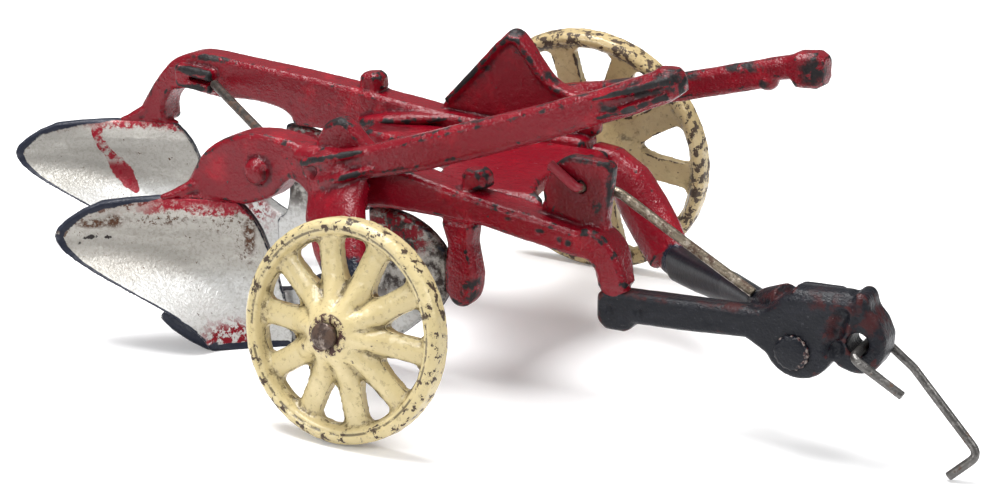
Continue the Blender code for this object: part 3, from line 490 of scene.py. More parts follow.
def rust_specks(tree, level, dx, dy, near):
    """Rust all over in a few specks, under the rim, and in blooms on the near blade."""
    brown = [flecks(tree, 800.0, 0.19, 0.03)]
    if near:
        freckles = patches(tree, shifted(FRECKLES, dx, dy), soft=0.8)
        blooms = patches(tree, shifted(RUST, dx, dy), soft=0.4, ragged=1.6, grain=900.0)
        brown.append(speckled(tree, freckles, 1300.0, 0.33, 0.1))
        brown.append(speckled(tree, blooms, 900.0, 0.5, 0.2))
    under_rim = painted_line(tree, "navy_line", 900.0, 4.4)
    under_rim = times(tree, under_rim, ramp(tree, level["Z"], *RUST_FROM_HEIGHT))
    brown.append(times(tree, under_rim, 0.85 if near else 0.4))
    return most(tree, brown)


print("silver and rust ready")

# %% Red that ran over, and the navy rim
NEAR_EDGE_HEIGHT, FAR_EDGE_HEIGHT = 24.6, 25.4
BRUSH_STROKE = 0.005
RED_THIN_TO = 0.0005
RED_SOLID_FROM, RED_SOLID_TO = 0.0004, 0.0022
RED_FROM_TIP = (-63, -57)
RUN_SOLID_UP_TO = (0.0165, 0.0185)


def red_over_edge(tree, spot, level, front, dx, dy, near):
    """The red brushed down over the top edge, its spatter, and the run that dripped from it."""
    brushed = rough_noise(tree, spot, 330.0, 6.0, 0.75)
    height = reckon(tree, "MULTIPLY_ADD", brushed, BRUSH_STROKE, level["Z"])
    edge = place(0, 0, NEAR_EDGE_HEIGHT if near else FAR_EDGE_HEIGHT).z + BRUSH_STROKE / 2
    red = ramp(tree, height, edge, edge + RED_THIN_TO)
    thin = flecks(tree, 900.0, 0.5, 0.2)
    solid = ramp(tree, height, edge + RED_SOLID_FROM, edge + RED_SOLID_TO)
    red = times(tree, red, reckon(tree, "MAXIMUM", thin, solid))
    inward = along_toy(tree, level, dx, *RED_FROM_TIP, 0.1, 1.0)
    behind = reckon(tree, "SUBTRACT", 1.0, front)
    red = times(tree, red, times(tree, inward, behind))
    spatter = speckled(tree, patches(tree, shifted(SPATTER, dx, dy), soft=0.6), 900.0, 0.4, 0.08)
    run = painted_line(tree, "red_line", 500.0, 0.9)
    thick = ramp(tree, level["Z"], *RUN_SOLID_UP_TO, 0.95, 0.0)
    gaps = flecks(tree, 600.0, 0.48, 0.2)
    run = times(tree, run, reckon(tree, "MAXIMUM", gaps, thick))
    return most(tree, [red, spatter, run])


def navy_rim(tree):
    """Where the dip shows: on backs, on edges and along the marked line."""
    facing = put(tree, "ShaderNodeNewGeometry").outputs["Normal"]
    facing = vector_sum(tree, "DOT_PRODUCT", facing, WORKING_FACE).outputs["Value"]
    ragged = flecks(tree, 500.0, 0.35, 0.4)
    facing = reckon(tree, "MULTIPLY_ADD", ragged, -0.2, facing)
    back = ramp(tree, facing, 0.34, 0.5, 1.0, 0.0)
    worn = use(tree, edge_wear, Start=1.1, Softness=0.5, Breakup=2.4, Grain=500.0)[0]
    return most(tree, [back, worn, painted_line(tree, "navy_line", 500.0, 0.45)])


print("red and navy ready")

# %% Aluminium paint
# Soot and painted shade: the colour of the dark specks on the coulter.
SOOT_AND_SHADE = (0.03, 0.022, 0.02, 1)
RUST_BROWN = (0.07, 0.029, 0.014, 1)
RUN_RED = (0.2, 0.004, 0.013, 1)
CHIP_DARK = (0.025, 0.02, 0.02, 1)
COULTER_FROM = (-34, -30)
SOOT_AND_SHADE_FROM_HEIGHT = (0.009, 0.017)
DEEP_NAVY, PALE_NAVY = (0.011, 0.014, 0.027, 1), (0.03, 0.034, 0.055, 1)


def aluminium_paint(name, dx, dy, near):
    """The paint of one plow bottom; dx and dy carry the right bottom's places to it."""
    made, tree, shader = start_material(name)
    spot = spot_in(tree)
    level = put(tree, "ShaderNodeSeparateXYZ", {0: spot}).outputs
    cloud = flecks(tree, 130.0, 0.36, 0.3, stretch=(1.0, 1.0, 2.5))
    salt = flecks(tree, 1500.0, 0.36, 0.1)
    colour = silver_coat(tree, spot, level, cloud, salt, dx, near)
    front = along_toy(tree, level, dx, *COULTER_FROM)
    # Soot and painted shade: dark specks on the coulter stand for its dirt and for the shade it lies in.
    soot_and_shade = speckled(tree, front, 420.0, 0.46, 0.2)
    soot_and_shade = times(tree, soot_and_shade, ramp(tree, level["Z"], *SOOT_AND_SHADE_FROM_HEIGHT))
    colour = over(tree, soot_and_shade, colour, SOOT_AND_SHADE)
    colour = over(tree, rust_specks(tree, level, dx, dy, near), colour, RUST_BROWN)
    colour = over(tree, red_over_edge(tree, spot, level, front, dx, dy, near), colour, RUN_RED)
    if near:
        chips = patches(tree, shifted(CHIPS, dx, dy), ragged=2.6, grain=1500.0)
        colour = over(tree, chips, colour, CHIP_DARK)
    navy = navy_rim(tree)
    colour = over(tree, navy, colour, over(tree, cloud, DEEP_NAVY, PALE_NAVY))
    tree.links.new(between(tree, navy, 0.3, 0.0), shader.inputs["Metallic"])
    shader.inputs["Specular IOR Level"].default_value = 0.25
    rough = between(tree, salt, 0.36, 0.55)
    finish_shader(tree, shader, colour, rough, strength=0.55, lumps=0.5, grains=0.5)
    return made


silver_paint = {
    "right": aluminium_paint("near_aluminium", 0.0, 0.0, True),
    "left": aluminium_paint("far_aluminium", *TO_LEFT, False),
}
print("materials:", [made.name for made in silver_paint.values()])

# %% [markdown]
# The wheels are cream. Rims that rolled over a century of floors are chipped to dark iron on both
# edges, rust rings the pin, and grime sits where spokes meet rim. All of that lies in rings, so
# the distance from the axle steers it, and the chips are specks that crowd on the rim.

# %% Cream paint
WHEEL_RADIUS = {"right": 19.25 * DRAWN, "left": 26.5 * DRAWN}
RIM_SHARE, RIM_FULL = 0.86, 0.9
GROOVE_SHARE = 0.905
GROOVE_LINE = (0.0001, 0.0003)
RUST_RING = (0.0034, 0.0037)
RUST_STRAY = 0.0012
CREAM_GRIME = (0.12, 0.085, 0.04, 1)
CRACKLE_BROWN = (0.3, 0.24, 0.12, 1)
GROOVE_DIRT = (0.06, 0.045, 0.03, 1)
CHIPPED_IRON = (0.05, 0.028, 0.014, 1)
HUB_RUST = (0.05, 0.014, 0.01, 1)


def cream_enamel(side, deep, pale, cover):
    made, tree, shader = start_material(side + "_cream")
    joint = joints[side + "_wheel_spin"]
    radius = WHEEL_RADIUS[side]
    axle = {"Centre": Vector(joint["pos_m"]), "Axis": Vector(joint["axis"]).normalized()}
    reach = use(tree, from_axle, **axle)[0]
    tone = flecks(tree, 110.0, 0.36, 0.3)
    colour = over(tree, tone, deep, pale)
    worn, grime = use(tree, edge_wear, Start=1.5, Softness=0.25, Breakup=5.5, Grain=520.0)
    broken = between(tree, flecks(tree, 900.0, 0.4, 0.15), 0.2, 0.85)
    colour = over(tree, times(tree, grime, broken), colour, CREAM_GRIME)
    crackle = flecks(tree, 1100.0, 0.29, 0.08)
    colour = over(tree, times(tree, crackle, 0.5), colour, CRACKLE_BROWN)
    groove = reckon(tree, "SUBTRACT", reach, GROOVE_SHARE * radius)
    groove = ramp(tree, reckon(tree, "ABSOLUTE", groove), *GROOVE_LINE, 0.8, 0.0)
    groove = speckled(tree, groove, 500.0, 0.42, 0.1)
    rim = ramp(tree, reach, RIM_SHARE * radius, RIM_FULL * radius)
    rim_chips = speckled(tree, rim, 520.0, cover + 0.15, 0.04)
    chips = flecks(tree, 430.0, cover, 0.02)
    blotches = flecks(tree, 600.0, 0.35, 0.4)
    uneven = reckon(tree, "MULTIPLY_ADD", blotches, RUST_STRAY, reach)
    hub = speckled(tree, ramp(tree, uneven, *RUST_RING, 1.0, 0.0), 900.0, 0.42, 0.1)
    bare = most(tree, [worn, rim_chips, chips])
    colour = over(tree, groove, colour, GROOVE_DIRT)
    colour = over(tree, bare, colour, CHIPPED_IRON)
    colour = over(tree, hub, colour, HUB_RUST)
    shader.inputs["Specular IOR Level"].default_value = 0.5
    rough = between(tree, most(tree, [bare, hub]), 0.26, 0.6)
    finish_shader(tree, shader, colour, rough, strength=0.7, lumps=0.8, grains=0.2)
    return made


cream_paint = {
    "right": cream_enamel("right", (0.56, 0.46, 0.24, 1), (0.69, 0.58, 0.33, 1), 0.15),
    "left": cream_enamel("left", (0.47, 0.36, 0.18, 1), (0.62, 0.5, 0.28, 1), 0.2),
}
print("materials:", [made.name for made in cream_paint.values()])

# %% [markdown]
# The drawbar was dipped in blue-black. Handling has rubbed it through to a rusty red along the top,
# and most of all round the eye, where the wire swings. The rivet's head stands proud, so the same
# paint with an earlier start of wear shows more bright iron there, and the plain bar from the left
# half takes a weaker bump, because grains at a grazing angle would turn into stripes.

# %% Blue-black paint
RUSTY = (
    (56, -18.5, 24.6, (9, 2.6, 1.3)),
    (43, -19, 23.4, (7, 2, 0.8)),
    (64, -17, 27, (5, 4, 2.4)),
    (74, -18, 28, (5, 4, 2.2)),
    (80.5, -17, 25, (4.6, 5, 6.4)),
    (76.6, -20, 24, (3.6, 1.8, 4)),
)
BLUE_BLACK, THIN_BLACK = (0.005, 0.006, 0.01, 1), (0.013, 0.014, 0.021, 1)
MAROON = (0.04, 0.006, 0.007, 1)
BRIGHT_IRON = (0.24, 0.2, 0.18, 1)
DUST = (0.12, 0.12, 0.13, 1)


def black_dip(name, start=1.1, gleam=0.24, bump=0.8):
    """start says how proud iron must stand to wear through, gleam how much of that is bright."""
    made, tree, shader = start_material(name)
    tone = flecks(tree, 220.0, 0.35, 0.3)
    colour = over(tree, tone, BLUE_BLACK, THIN_BLACK)
    worn = use(tree, edge_wear, Start=start, Softness=0.4, Breakup=4.0, Grain=420.0)[0]
    rusty = speckled(tree, patches(tree, RUSTY, soft=0.6, ragged=1.2), 420.0, 0.42, 0.14)
    colour = over(tree, most(tree, [rusty, worn]), colour, MAROON)
    colour = over(tree, speckled(tree, worn, 1500.0, gleam), colour, BRIGHT_IRON)
    dust = flecks(tree, 1600.0, 0.24, 0.1)
    colour = over(tree, times(tree, dust, 0.3), colour, DUST)
    shader.inputs["Specular IOR Level"].default_value = 0.24
    rough = between(tree, rusty, 0.36, 0.55)
    finish_shader(tree, shader, colour, rough, strength=bump, lumps=0.8, grains=0.5)
    return made


black_paint = black_dip("black_dip")
bar_paint = black_dip("bar_dip", bump=0.2)
rivet_paint = black_dip("rivet_dip", start=0.6, gleam=0.42)
print("materials:", black_paint.name, bar_paint.name, rivet_paint.name)

# %% [markdown]
# Pins, rods and the wire were never painted: dull drawn steel with brown bloom. The lift rod's
# tail, though, was caught by the red when the plate was brushed. One recipe serves all four, and
# only its two greys and the share of rust differ.

# %% Bare steel
TAIL = ((25.4, -18.8, 42.3, (5, 2.2, 3.6)),)
BROWN_BLOOM = (0.075, 0.04, 0.024, 1)
TAIL_RED = (0.2, 0.004, 0.014, 1)


def bare_steel(name, low, high, rust, painted=()):
    """Steel between two greys; rust is the bloom's cover, and painted lists red places."""
    made, tree, shader = start_material(name)
    tone = flecks(tree, 700.0, 0.36, 0.2)
    colour = over(tree, tone, (*low, 1), (*high, 1))
    bloom = flecks(tree, 420.0, rust, 0.1)
    colour = over(tree, bloom, colour, BROWN_BLOOM)
    metal = between(tree, bloom, 0.85, 0.1)
    if painted:
        red = patches(tree, painted, soft=0.15)
        colour = over(tree, red, colour, TAIL_RED)
        metal = times(tree, metal, between(tree, red, 1.0, 0.0))
    tree.links.new(metal, shader.inputs["Metallic"])
    rough = between(tree, bloom, 0.34, 0.7)
    finish_shader(tree, shader, colour, rough, strength=0.6, lumps=0.3, grains=0.6, distance=0.0003)
    return made


wire_steel = bare_steel("wire_steel", (0.12, 0.115, 0.11), (0.24, 0.23, 0.22), 0.28)
brace_steel = bare_steel("brace_steel", (0.09, 0.08, 0.07), (0.2, 0.18, 0.16), 0.36)
rod_steel = bare_steel("rod_steel", (0.2, 0.165, 0.12), (0.52, 0.46, 0.38), 0.34, TAIL)
pin_steel = bare_steel("pin_steel", (0.06, 0.042, 0.036), (0.26, 0.21, 0.18), 0.36)
print("materials:", wire_steel.name, brace_steel.name, rod_steel.name, pin_steel.name)

# %% [markdown]
# A real casting is one piece of iron with soft corners. The model has it as clean solids with hair
# gaps between them. Swelling copies of those solids a little closes the gaps, a voxel remesh
# melts them into one skin, and smoothing rounds every corner, as a sand mould does. Small extra
# bars and balls melted in with them become fillets, ribs and knobs.

# %% Solids to melt


def swollen_copy(names, swell):
    """The named solids' meshes in one bmesh, each pushed out along its normals."""
    shape = bmesh.new()
    for name in names:
        single = bmesh.new()
        single.from_mesh(frame["nodes"][name].data)
        bmesh.ops.remove_doubles(single, verts=single.verts, dist=1e-6)
        bmesh.ops.recalc_face_normals(single, faces=single.faces)
        single.normal_update()
        for vertex in single.verts:
            vertex.co += vertex.normal * swell
        copied = bpy.data.meshes.new("copy")
        single.to_mesh(copied)
        single.free()
        shape.from_mesh(copied)
        bpy.data.meshes.remove(copied)
    return shape


def add_bar(shape, stations, sides=12):
    """Melt in a rounded bar, from stations of (x, y, z, width, depth) in the drawing."""
    centres = [place(*station[:3]) for station in stations]
    rings = []
    for index, station in enumerate(stations):
        along = centres[min(index + 1, len(centres) - 1)] - centres[max(index - 1, 0)]
        along.normalize()
        side = Vector((0.0, 1.0, 0.0))
        side = (side - side.dot(along) * along).normalized()
        across = along.cross(side)
        ring = []
        for step in range(sides):
            angle = math.tau * step / sides
            offset = side * math.cos(angle) * station[3] + across * math.sin(angle) * station[4]
            ring.append(shape.verts.new(centres[index] + offset * DRAWN / 2))
        rings.append(ring)
    for first, second in zip(rings, rings[1:]):
        for step in range(sides):
            following = (step + 1) % sides
            shape.faces.new((first[step], first[following], second[following], second[step]))
    shape.faces.new(rings[0])
    shape.faces.new(reversed(rings[-1]))


def add_ball(shape, x, y, z, reach, facets):
    """Melt in a ball; few facets make it look hammered."""
    stretch = Matrix.Diagonal((*[value * DRAWN for value in reach], 1.0))
    where = Matrix.Translation(place(x, y, z)) @ stretch
    bmesh.ops.create_icosphere(shape, subdivisions=facets, radius=1.0, matrix=where)


print("shapes to melt ready")

# %% [markdown]
# The melt itself is a Remesh modifier in voxel mode, then a Smooth modifier. Booleans and bevels
# would keep corners crisp, and a casting has none. Both modifiers are applied at once, so the piece
# that stays is a plain mesh.

# %% Melting
FLOOR_GAP = 0.00002


def melted(name, shape, voxel, smoothing):
    """Melt a bmesh of overlapping solids into one smooth mesh object."""
    mesh = bpy.data.meshes.new(name)
    shape.to_mesh(mesh)
    shape.free()
    made = bpy.data.objects.new(name, mesh)
    bpy.context.scene.collection.objects.link(made)
    remesh = made.modifiers.new("melt", "REMESH")
    remesh.mode = "VOXEL"
    remesh.voxel_size = voxel
    soften = made.modifiers.new("soften", "SMOOTH")
    soften.factor = 0.5
    soften.iterations = smoothing
    final = bpy.data.meshes.new_from_object(made.evaluated_get(bpy.context.evaluated_depsgraph_get()))
    made.modifiers.clear()
    made.data = final
    bpy.data.meshes.remove(mesh)
    final.shade_smooth()
    return made


def read(mesh, what):
    """All vertices' places or normals as rows of numbers."""
    values = np.empty(len(mesh.vertices) * 3)
    mesh.vertices.foreach_get(what, values)
    return values.reshape(-1, 3)


def write_places(mesh, spots):
    """Put the vertices back, inside the solid model's box and clear of the floor."""
    low, high = np.array(size_at_load[0]), np.array(size_at_load[1])
    low[2] = FLOOR_GAP
    mesh.vertices.foreach_set("co", np.clip(spots, low, high).ravel())
    mesh.update()


print("melting ready")

# %% [markdown]
# Hand-made iron has wavy outlines, so each vertex moves a little in or out, along its normal.
# Punch marks and dimples are dents: a round, smooth push inward.

# %% Lumps and dents
BROAD_LUMPS, FINE_LUMPS, FINE_SHARE = 230.0, 800.0, 0.4


def lump(spot):
    """How far out the surface waves at a spot, as a share of the waves' depth."""
    return noise.noise(spot * BROAD_LUMPS) + FINE_SHARE * noise.noise(spot * FINE_LUMPS)


def roughen(target, depth):
    """Wavy outlines: a broad lump and a finer one."""
    spots, normals = read(target.data, "co"), read(target.data, "normal")
    lumps = [lump(Vector(spot)) for spot in spots]
    write_places(target.data, spots + normals * (np.array(lumps) * depth)[:, None])


def dent(target, marks):
    """Push round hollows in, from marks of (x, y, z, radius, depth) in the drawing."""
    spots, normals = read(target.data, "co"), read(target.data, "normal")
    push = np.zeros(len(spots))
    for x, y, z, radius, depth in marks:
        away = np.linalg.norm(spots - np.array(place(x, y, z)), axis=1) / (radius * DRAWN)
        push += np.clip(1 - away ** 2, 0, 1) ** 2 * depth * DRAWN
    write_places(target.data, spots - normals * push[:, None])


print("lumps and dents ready")

# %% [markdown]
# How proud does each vertex stand? Smooth a copy of the skin and compare: on an edge the copy
# shrinks away inward, and in a corner it fills up. The difference, stored on the vertices, is what
# the wear masks read.

# %% How proud each vertex stands
TENTHS_PER_METRE = 1e4


def mark_proud(target, rounds=14):
    """Store how proud each vertex stands, and give the spread of it."""
    mesh = target.data
    spots, normals = read(mesh, "co"), read(mesh, "normal")
    count = len(spots)
    ends = np.empty(len(mesh.edges) * 2, dtype=np.int32)
    mesh.edges.foreach_get("vertices", ends)
    first, second = ends.reshape(-1, 2).T
    links = np.bincount(first, minlength=count) + np.bincount(second, minlength=count)
    smooth = spots.copy()
    for _ in range(rounds):
        for axis in range(3):
            column = smooth[:, axis].copy()
            pull = np.bincount(first, column[second], count) + np.bincount(second, column[first], count)
            smooth[:, axis] = 0.5 * column + 0.5 * pull / links
    proud = ((spots - smooth) * normals).sum(axis=1) * TENTHS_PER_METRE
    mesh.attributes.new("proud", "FLOAT", "POINT").data.foreach_set("value", proud)
    return np.percentile(proud, [5, 50, 90, 98])


print("measure of edges ready")

# %% [markdown]
# Some paint follows a line: the navy rim of a moldboard, a run of red. Each vertex gets a value
# that is 1 on the line and falls to 0 at its reach, and the material breaks up the edge with noise.

# %% Lines of paint


def mark_line(target, name, runs):
    """Store how near each vertex is to runs of (x, y, z, reach) in the drawing."""
    spots = read(target.data, "co")
    near = np.full(len(spots), -1.0)
    for run in runs:
        for first, second in zip(run, run[1:]):
            start, stop = np.array(place(*first[:3])), np.array(place(*second[:3]))
            along = stop - start
            share = np.clip((spots - start) @ along / (along @ along), 0, 1)
            away = np.linalg.norm(spots - start - share[:, None] * along, axis=1)
            reach = (first[3] + (second[3] - first[3]) * share) * DRAWN
            near = np.maximum(near, 1 - away / reach)
    target.data.attributes.new(name, "FLOAT", "POINT").data.foreach_set("value", near)


print("lines of paint ready")

# %% [markdown]
# Every casting goes through the same steps: swell, melt, roughen, dent, measure, mark and paint.
# One function does them in order, hides the solids that the skin stands for, and parents the skin
# to the empty of the body it rides on, so that the skin moves with that body's joint.

# %% One cast skin


def cast_skin(
    name,
    nodes,
    material,
    slot,
    body="frame",
    voxel=0.0003,
    swell=0.00024,
    smoothing=7,
    extra=None,
    marks=(),
    waves=0.00008,
    lines=(),
):
    """One sand-cast skin that stands for several solids of the same paint."""
    shape = swollen_copy(nodes, swell)
    if extra:
        extra(shape)
    made = melted(name, shape, voxel, smoothing)
    roughen(made, waves)
    if marks:
        dent(made, marks)
    levels = mark_proud(made)
    for label, runs in lines:
        mark_line(made, label, runs)
    made.data.materials.clear()
    made.data.materials.append(material)
    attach(made, body)
    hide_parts(*nodes)
    print(name, "covers", len(nodes), "solids:", len(made.data.polygons), "faces, proud", levels.round(1))
    return made


print("casting ready")

# %% [markdown]
# The right red casting: standard, beam, wheel leg, lever, ear, plate, web and coulter shank. A
# stout column joins the lever's root to the leg, two ribs run along the root, and ribs again along
# the grip's end. A fillet carries the standard's foot onto the moldboard, and a seam runs on from
# it along the top edge. All of them are bars of a few stations, because a bar that is melted in
# gets the same soft corners as the casting. This is the largest skin, so its voxel is a bit wider,
# which keeps the mesh light enough to export whole.

# %% Bars of the right red casting
LEVER_COLUMN = (
    (-17.4, -22.9, 42.0, 4.6, 7.0),
    (-17.6, -23.2, 39.6, 6.4, 11.0),
    (-17.6, -23.4, 36, 6.8, 13.0),
    (-17.2, -23.8, 32.6, 6.6, 13.4),
    (-15.6, -25.0, 30, 6.0, 11.6),
)
ROOT_RIBS = (
    ((-24, -25.0, 39.2, 2.2, 1.7), (-18.5, -25.8, 41.0, 2.6, 1.8), (-11, -24.6, 43.0, 1.0, 1.0)),
    ((-19.6, -25.8, 36.6, 2.4, 1.8), (-14.5, -26.0, 38.2, 2.6, 1.9), (-8, -24.2, 40.3, 1.0, 1.0)),
)
GRIP_RIBS = (
    ((32, -20.8, 56.9, 0.8, 0.8), (39, -20.7, 59.4, 2.0, 1.6), (45.6, -19.8, 61.6, 1.9, 1.8)),
    ((33, -20.6, 53.9, 0.8, 0.8), (39, -20.5, 56.3, 2.0, 1.6), (45.4, -19.6, 59.2, 1.9, 1.8)),
)
GRIP_END = (44.6, -17.6, 61.0, (3.2, 2.6, 3.0))
BEAM_TOE = ((34.4, -18.4, 27, 3.6, 5.0), (35.6, -18.3, 24.2, 3.8, 5.4), (36.4, -18.2, 22.2, 3.8, 5.6))
PLATE_FILLET = (
    (20.6, -15.4, 35.6, 2.6, 3.4),
    (26, -15.6, 34.6, 3.2, 3.6),
    (33.4, -16.2, 33.0, 2.6, 3.2),
)
SHOULDER = ((-31, -17, 38.6, 5.6, 3.4), (-26, -18, 38.8, 6.6, 4.6), (-21, -19, 38.6, 6.6, 4.8))
RIGHT_FOOT = (
    (-58.6, -23.4, 26.9, 2.2, 1.2),
    (-56.8, -21.8, 27.4, 3.0, 1.8),
    (-54.4, -19.6, 28.6, 4.2, 2.6),
    (-51.4, -17.2, 30.4, 5.0, 3.0),
)
SEAM = (
    (-55.5, -20.8, 27.2, 2.8, 1.4),
    (-52.4, -19.5, 27.2, 3.0, 1.6),
    (-50.3, -18.8, 27.2, 3.0, 1.6),
    (-45.9, -17.8, 27.2, 3.0, 1.6),
    (-43.8, -17.4, 26.9, 1.4, 0.8),
)


def right_details(shape):
    for stations in (LEVER_COLUMN, *ROOT_RIBS, *GRIP_RIBS):
        add_bar(shape, stations)
    add_ball(shape, *GRIP_END, facets=2)
    for stations in (BEAM_TOE, PLATE_FILLET, SHOULDER, RIGHT_FOOT, SEAM):
        add_bar(shape, stations)


print("the right casting's bars ready")

# %% The right red casting
RIGHT_RED = ("right_beam", "right_beam_stud", "right_wheel_leg", "right_lever", "lever_ear")
RIGHT_RED += ("rod_plate", "right_coulter_leg", "cross_plate", "brace_rivet")
RIGHT_MARKS = (
    (-20.9, -25, 38.0, 1.9, 1.0),
    (25.9, -20, 31.3, 0.9, 0.35),
    (27.6, -20, 30.9, 0.9, 0.35),
    (22, -20, 32.2, 1.1, 0.25),
)
RIGHT = {"voxel": 0.00032, "extra": right_details, "marks": RIGHT_MARKS}
cast_skin("right_red_casting", RIGHT_RED, red_iron, "red_paint", **RIGHT)

# %% [markdown]
# The left red casting is its twin, with the triangular bracket, whose rim stands proud. Its lever
# ends in a latch step and a knob that looks hammered, a ball with few facets, and its clip holds
# the brace rod. The seam is the right half's, carried across, and a ledge runs low on the beam.

# %% The left red casting
LEFT_RED = ("left_beam", "left_beam_stud", "left_wheel_leg", "wheel_bracket", "left_lever")
LEFT_RED += ("left_front_arm", "left_coulter_leg", "brace_clip")
BRACKET_REAR = ((-21.6, 40.4), (-16.2, 46), (-9.8, 53), (-7.4, 54.8))
BRACKET_FRONT = ((-5.4, 54.4), (-4, 52.6), (-1.2, 48.8), (2.2, 46), (6.4, 44.7), (11, 44.5))
BRACKET_RIM = [(x, 22.6, z, 2.0, 1.8) for x, z in BRACKET_REAR + BRACKET_FRONT]
KNOB = (53.3, 26.4, 54.9, (3.3, 3.4, 3.7))
LATCH_STEP = (44.8, 26.6, 51.6, (2.2, 2.2, 1.9))
ARM_ROOT = ((28.6, 17.8, 20, 5.2, 8.0), (31.6, 15.8, 18.3, 4.8, 7.4), (34.2, 13.6, 17.8, 4.4, 6.6))
LEDGE = (
    (-40.4, 19.6, 34.6, 2.0, 1.4),
    (-37.6, 18.0, 35.3, 4.8, 2.4),
    (-32.6, 18.0, 36.2, 5.4, 2.8),
    (-27.6, 19.0, 36.9, 4.4, 2.8),
    (-20.0, 20.6, 37.4, 2.0, 1.4),
)
LEFT_FOOT = (
    (-103.0, 18.4, 26.9, 2.2, 1.2),
    (-101.4, 19.6, 27.4, 3.0, 1.8),
    (-99.2, 20.9, 28.5, 4.2, 2.6),
    (-96.2, 22.7, 30.2, 4.8, 3.0),
)


def left_details(shape):
    add_bar(shape, BRACKET_RIM)
    add_ball(shape, *KNOB, facets=1)
    add_ball(shape, *LATCH_STEP, facets=2)
    for stations in (ARM_ROOT, LEDGE, LEFT_FOOT, shifted(SEAM, *TO_LEFT)):
        add_bar(shape, stations)


cast_skin("left_red_casting", LEFT_RED, red_iron, "red_paint", extra=left_details)

# %% [markdown]
# The plow bottoms are thinner and take more smoothing, so that the moldboards' curve runs clean.
# A bead follows each moldboard's top edge, painted navy, and a navy lug backs each share. The rim,
# the lug and the share's edge are lines for the navy, and the left one has a drip of red as well.
# A line's last number is its reach: how far the paint spreads from it.

# %% Lines on a plow bottom
RIM = (
    (-45.2, -31.6, 4.6, 0.4),
    (-49.2, -33.7, 8.1, 0.45),
    (-54.7, -35.2, 10.8, 0.45),
    (-61.2, -36.3, 13.5, 0.5),
    (-67.0, -37.0, 16.2, 0.5),
    (-71.0, -37.4, 18.9, 0.7),
    (-72.2, -37.4, 21.0, 0.95),
    (-71.9, -36.8, 22.5, 1.15),
    (-70.6, -35.2, 24.1, 1.25),
    (-68.8, -33.2, 25.6, 1.3),
    (-66.5, -31.0, 26.7, 1.35),
    (-63.0, -26.9, 26.9, 1.4),
    (-59.1, -23.3, 26.9, 1.3),
    (-56.9, -21.8, 26.9, 1.0),
    (-53.0, -20.2, 26.9, 0.5),
)
SHARE_EDGE = ((-45.2, -29.4, 0.5, 1.1), (-33.0, -19.4, 0.4, 0.9))
LUG = (
    (-55.0, -28.4, 5.9, 1.0),
    (-52.4, -28.4, 4.2, 3.0),
    (-48.4, -28.4, 2.6, 3.0),
    (-44.6, -27.8, 1.3, 2.0),
)
LEFT_DRIP = (
    (-105.8, 13.6, 25.4, 1.3),
    (-105.5, 13.5, 24.0, 1.2),
    (-104.5, 14.0, 21.6, 1.2),
    (-103.5, 15.5, 18.9, 1.3),
    (-102.5, 16.1, 17.3, 2.0),
    (-101.4, 16.4, 15.8, 2.1),
    (-99.6, 16.3, 13.7, 1.8),
    (-98.0, 16.0, 12.2, 1.0),
)
TOP_EDGE = RIM[6:14]
print("the bead follows", len(TOP_EDGE), "of the rim's", len(RIM), "places")

# %% Plow bottoms
BEAD_BELOW, BEAD_SIZE = 0.2, (2.4, 1.6)
LUG_SIZE = (2.4, 3.4)


def bottom_details(dx, dy):
    """The bead along the moldboard's top edge, and the lug behind its share."""
    bead = [(x, y, z - BEAD_BELOW, *BEAD_SIZE) for x, y, z, reach in TOP_EDGE]
    lug = [(x, y, z, *LUG_SIZE) for x, y, z, reach in LUG]

    def build(shape):
        add_bar(shape, shifted(bead, dx, dy))
        add_bar(shape, shifted(lug, dx, dy))

    return build


for side, dx, dy, drips in (("right", 0.0, 0.0, ()), ("left", *TO_LEFT, (LEFT_DRIP,))):
    navy_runs = [shifted(run, dx, dy) for run in (RIM, LUG, SHARE_EDGE)]
    cast_skin(
        side + "_bottom",
        (side + "_moldboard", side + "_landside", side + "_coulter"),
        silver_paint[side],
        "aluminium_paint",
        smoothing=10,
        extra=bottom_details(dx, dy),
        waves=0.00004,
        lines=(("navy_line", navy_runs), ("red_line", drips)),
    )

# %% [markdown]
# The black hitch: a drawbar with a low ledge along its top, punch marks near its heel, a groove
# before its eye, the cheek riveted behind it, and the bar that runs in from the left half. The
# groove is three dents in a row. The bar is plain, so it takes the most smoothing, and the rivet's
# flutes are fine, so its voxel is the smallest and it isn't swollen at all.

# %% Hitch
DRAWBAR_LEDGE = ((37, -18.8, 23.1, 2.2, 1.0), (50, -18.8, 23.6, 2.2, 1.0), (60.5, -18.4, 24.4, 2.4, 1.0))
EYE_LEDGE = ((68, -16.8, 28.6, 5.4, 1.8), (73, -16.8, 28.8, 5.4, 2.0), (77.6, -16.8, 29.0, 5.0, 2.4))
BAR_FILLET = ((59.4, -12.6, 23.8, 4.0, 3.0), (62.4, -14.4, 25.2, 5.0, 4.0), (66, -16.2, 27, 5.6, 4.0))
PUNCH_MARKS = ((35.5, -20, 20.4, 1.2, 0.5), (41, -20, 20.9, 1.2, 0.5), (54, -20, 21.6, 1.3, 0.2))
EYE_GROOVE = ((77, -20.2, 26.4, 2.1, 1.2), (76.2, -20.2, 23.8, 2.4, 1.6), (75.9, -20.2, 21, 2.4, 1.6))


def hitch_details(shape):
    for stations in (DRAWBAR_LEDGE, EYE_LEDGE, BAR_FILLET):
        add_bar(shape, stations)


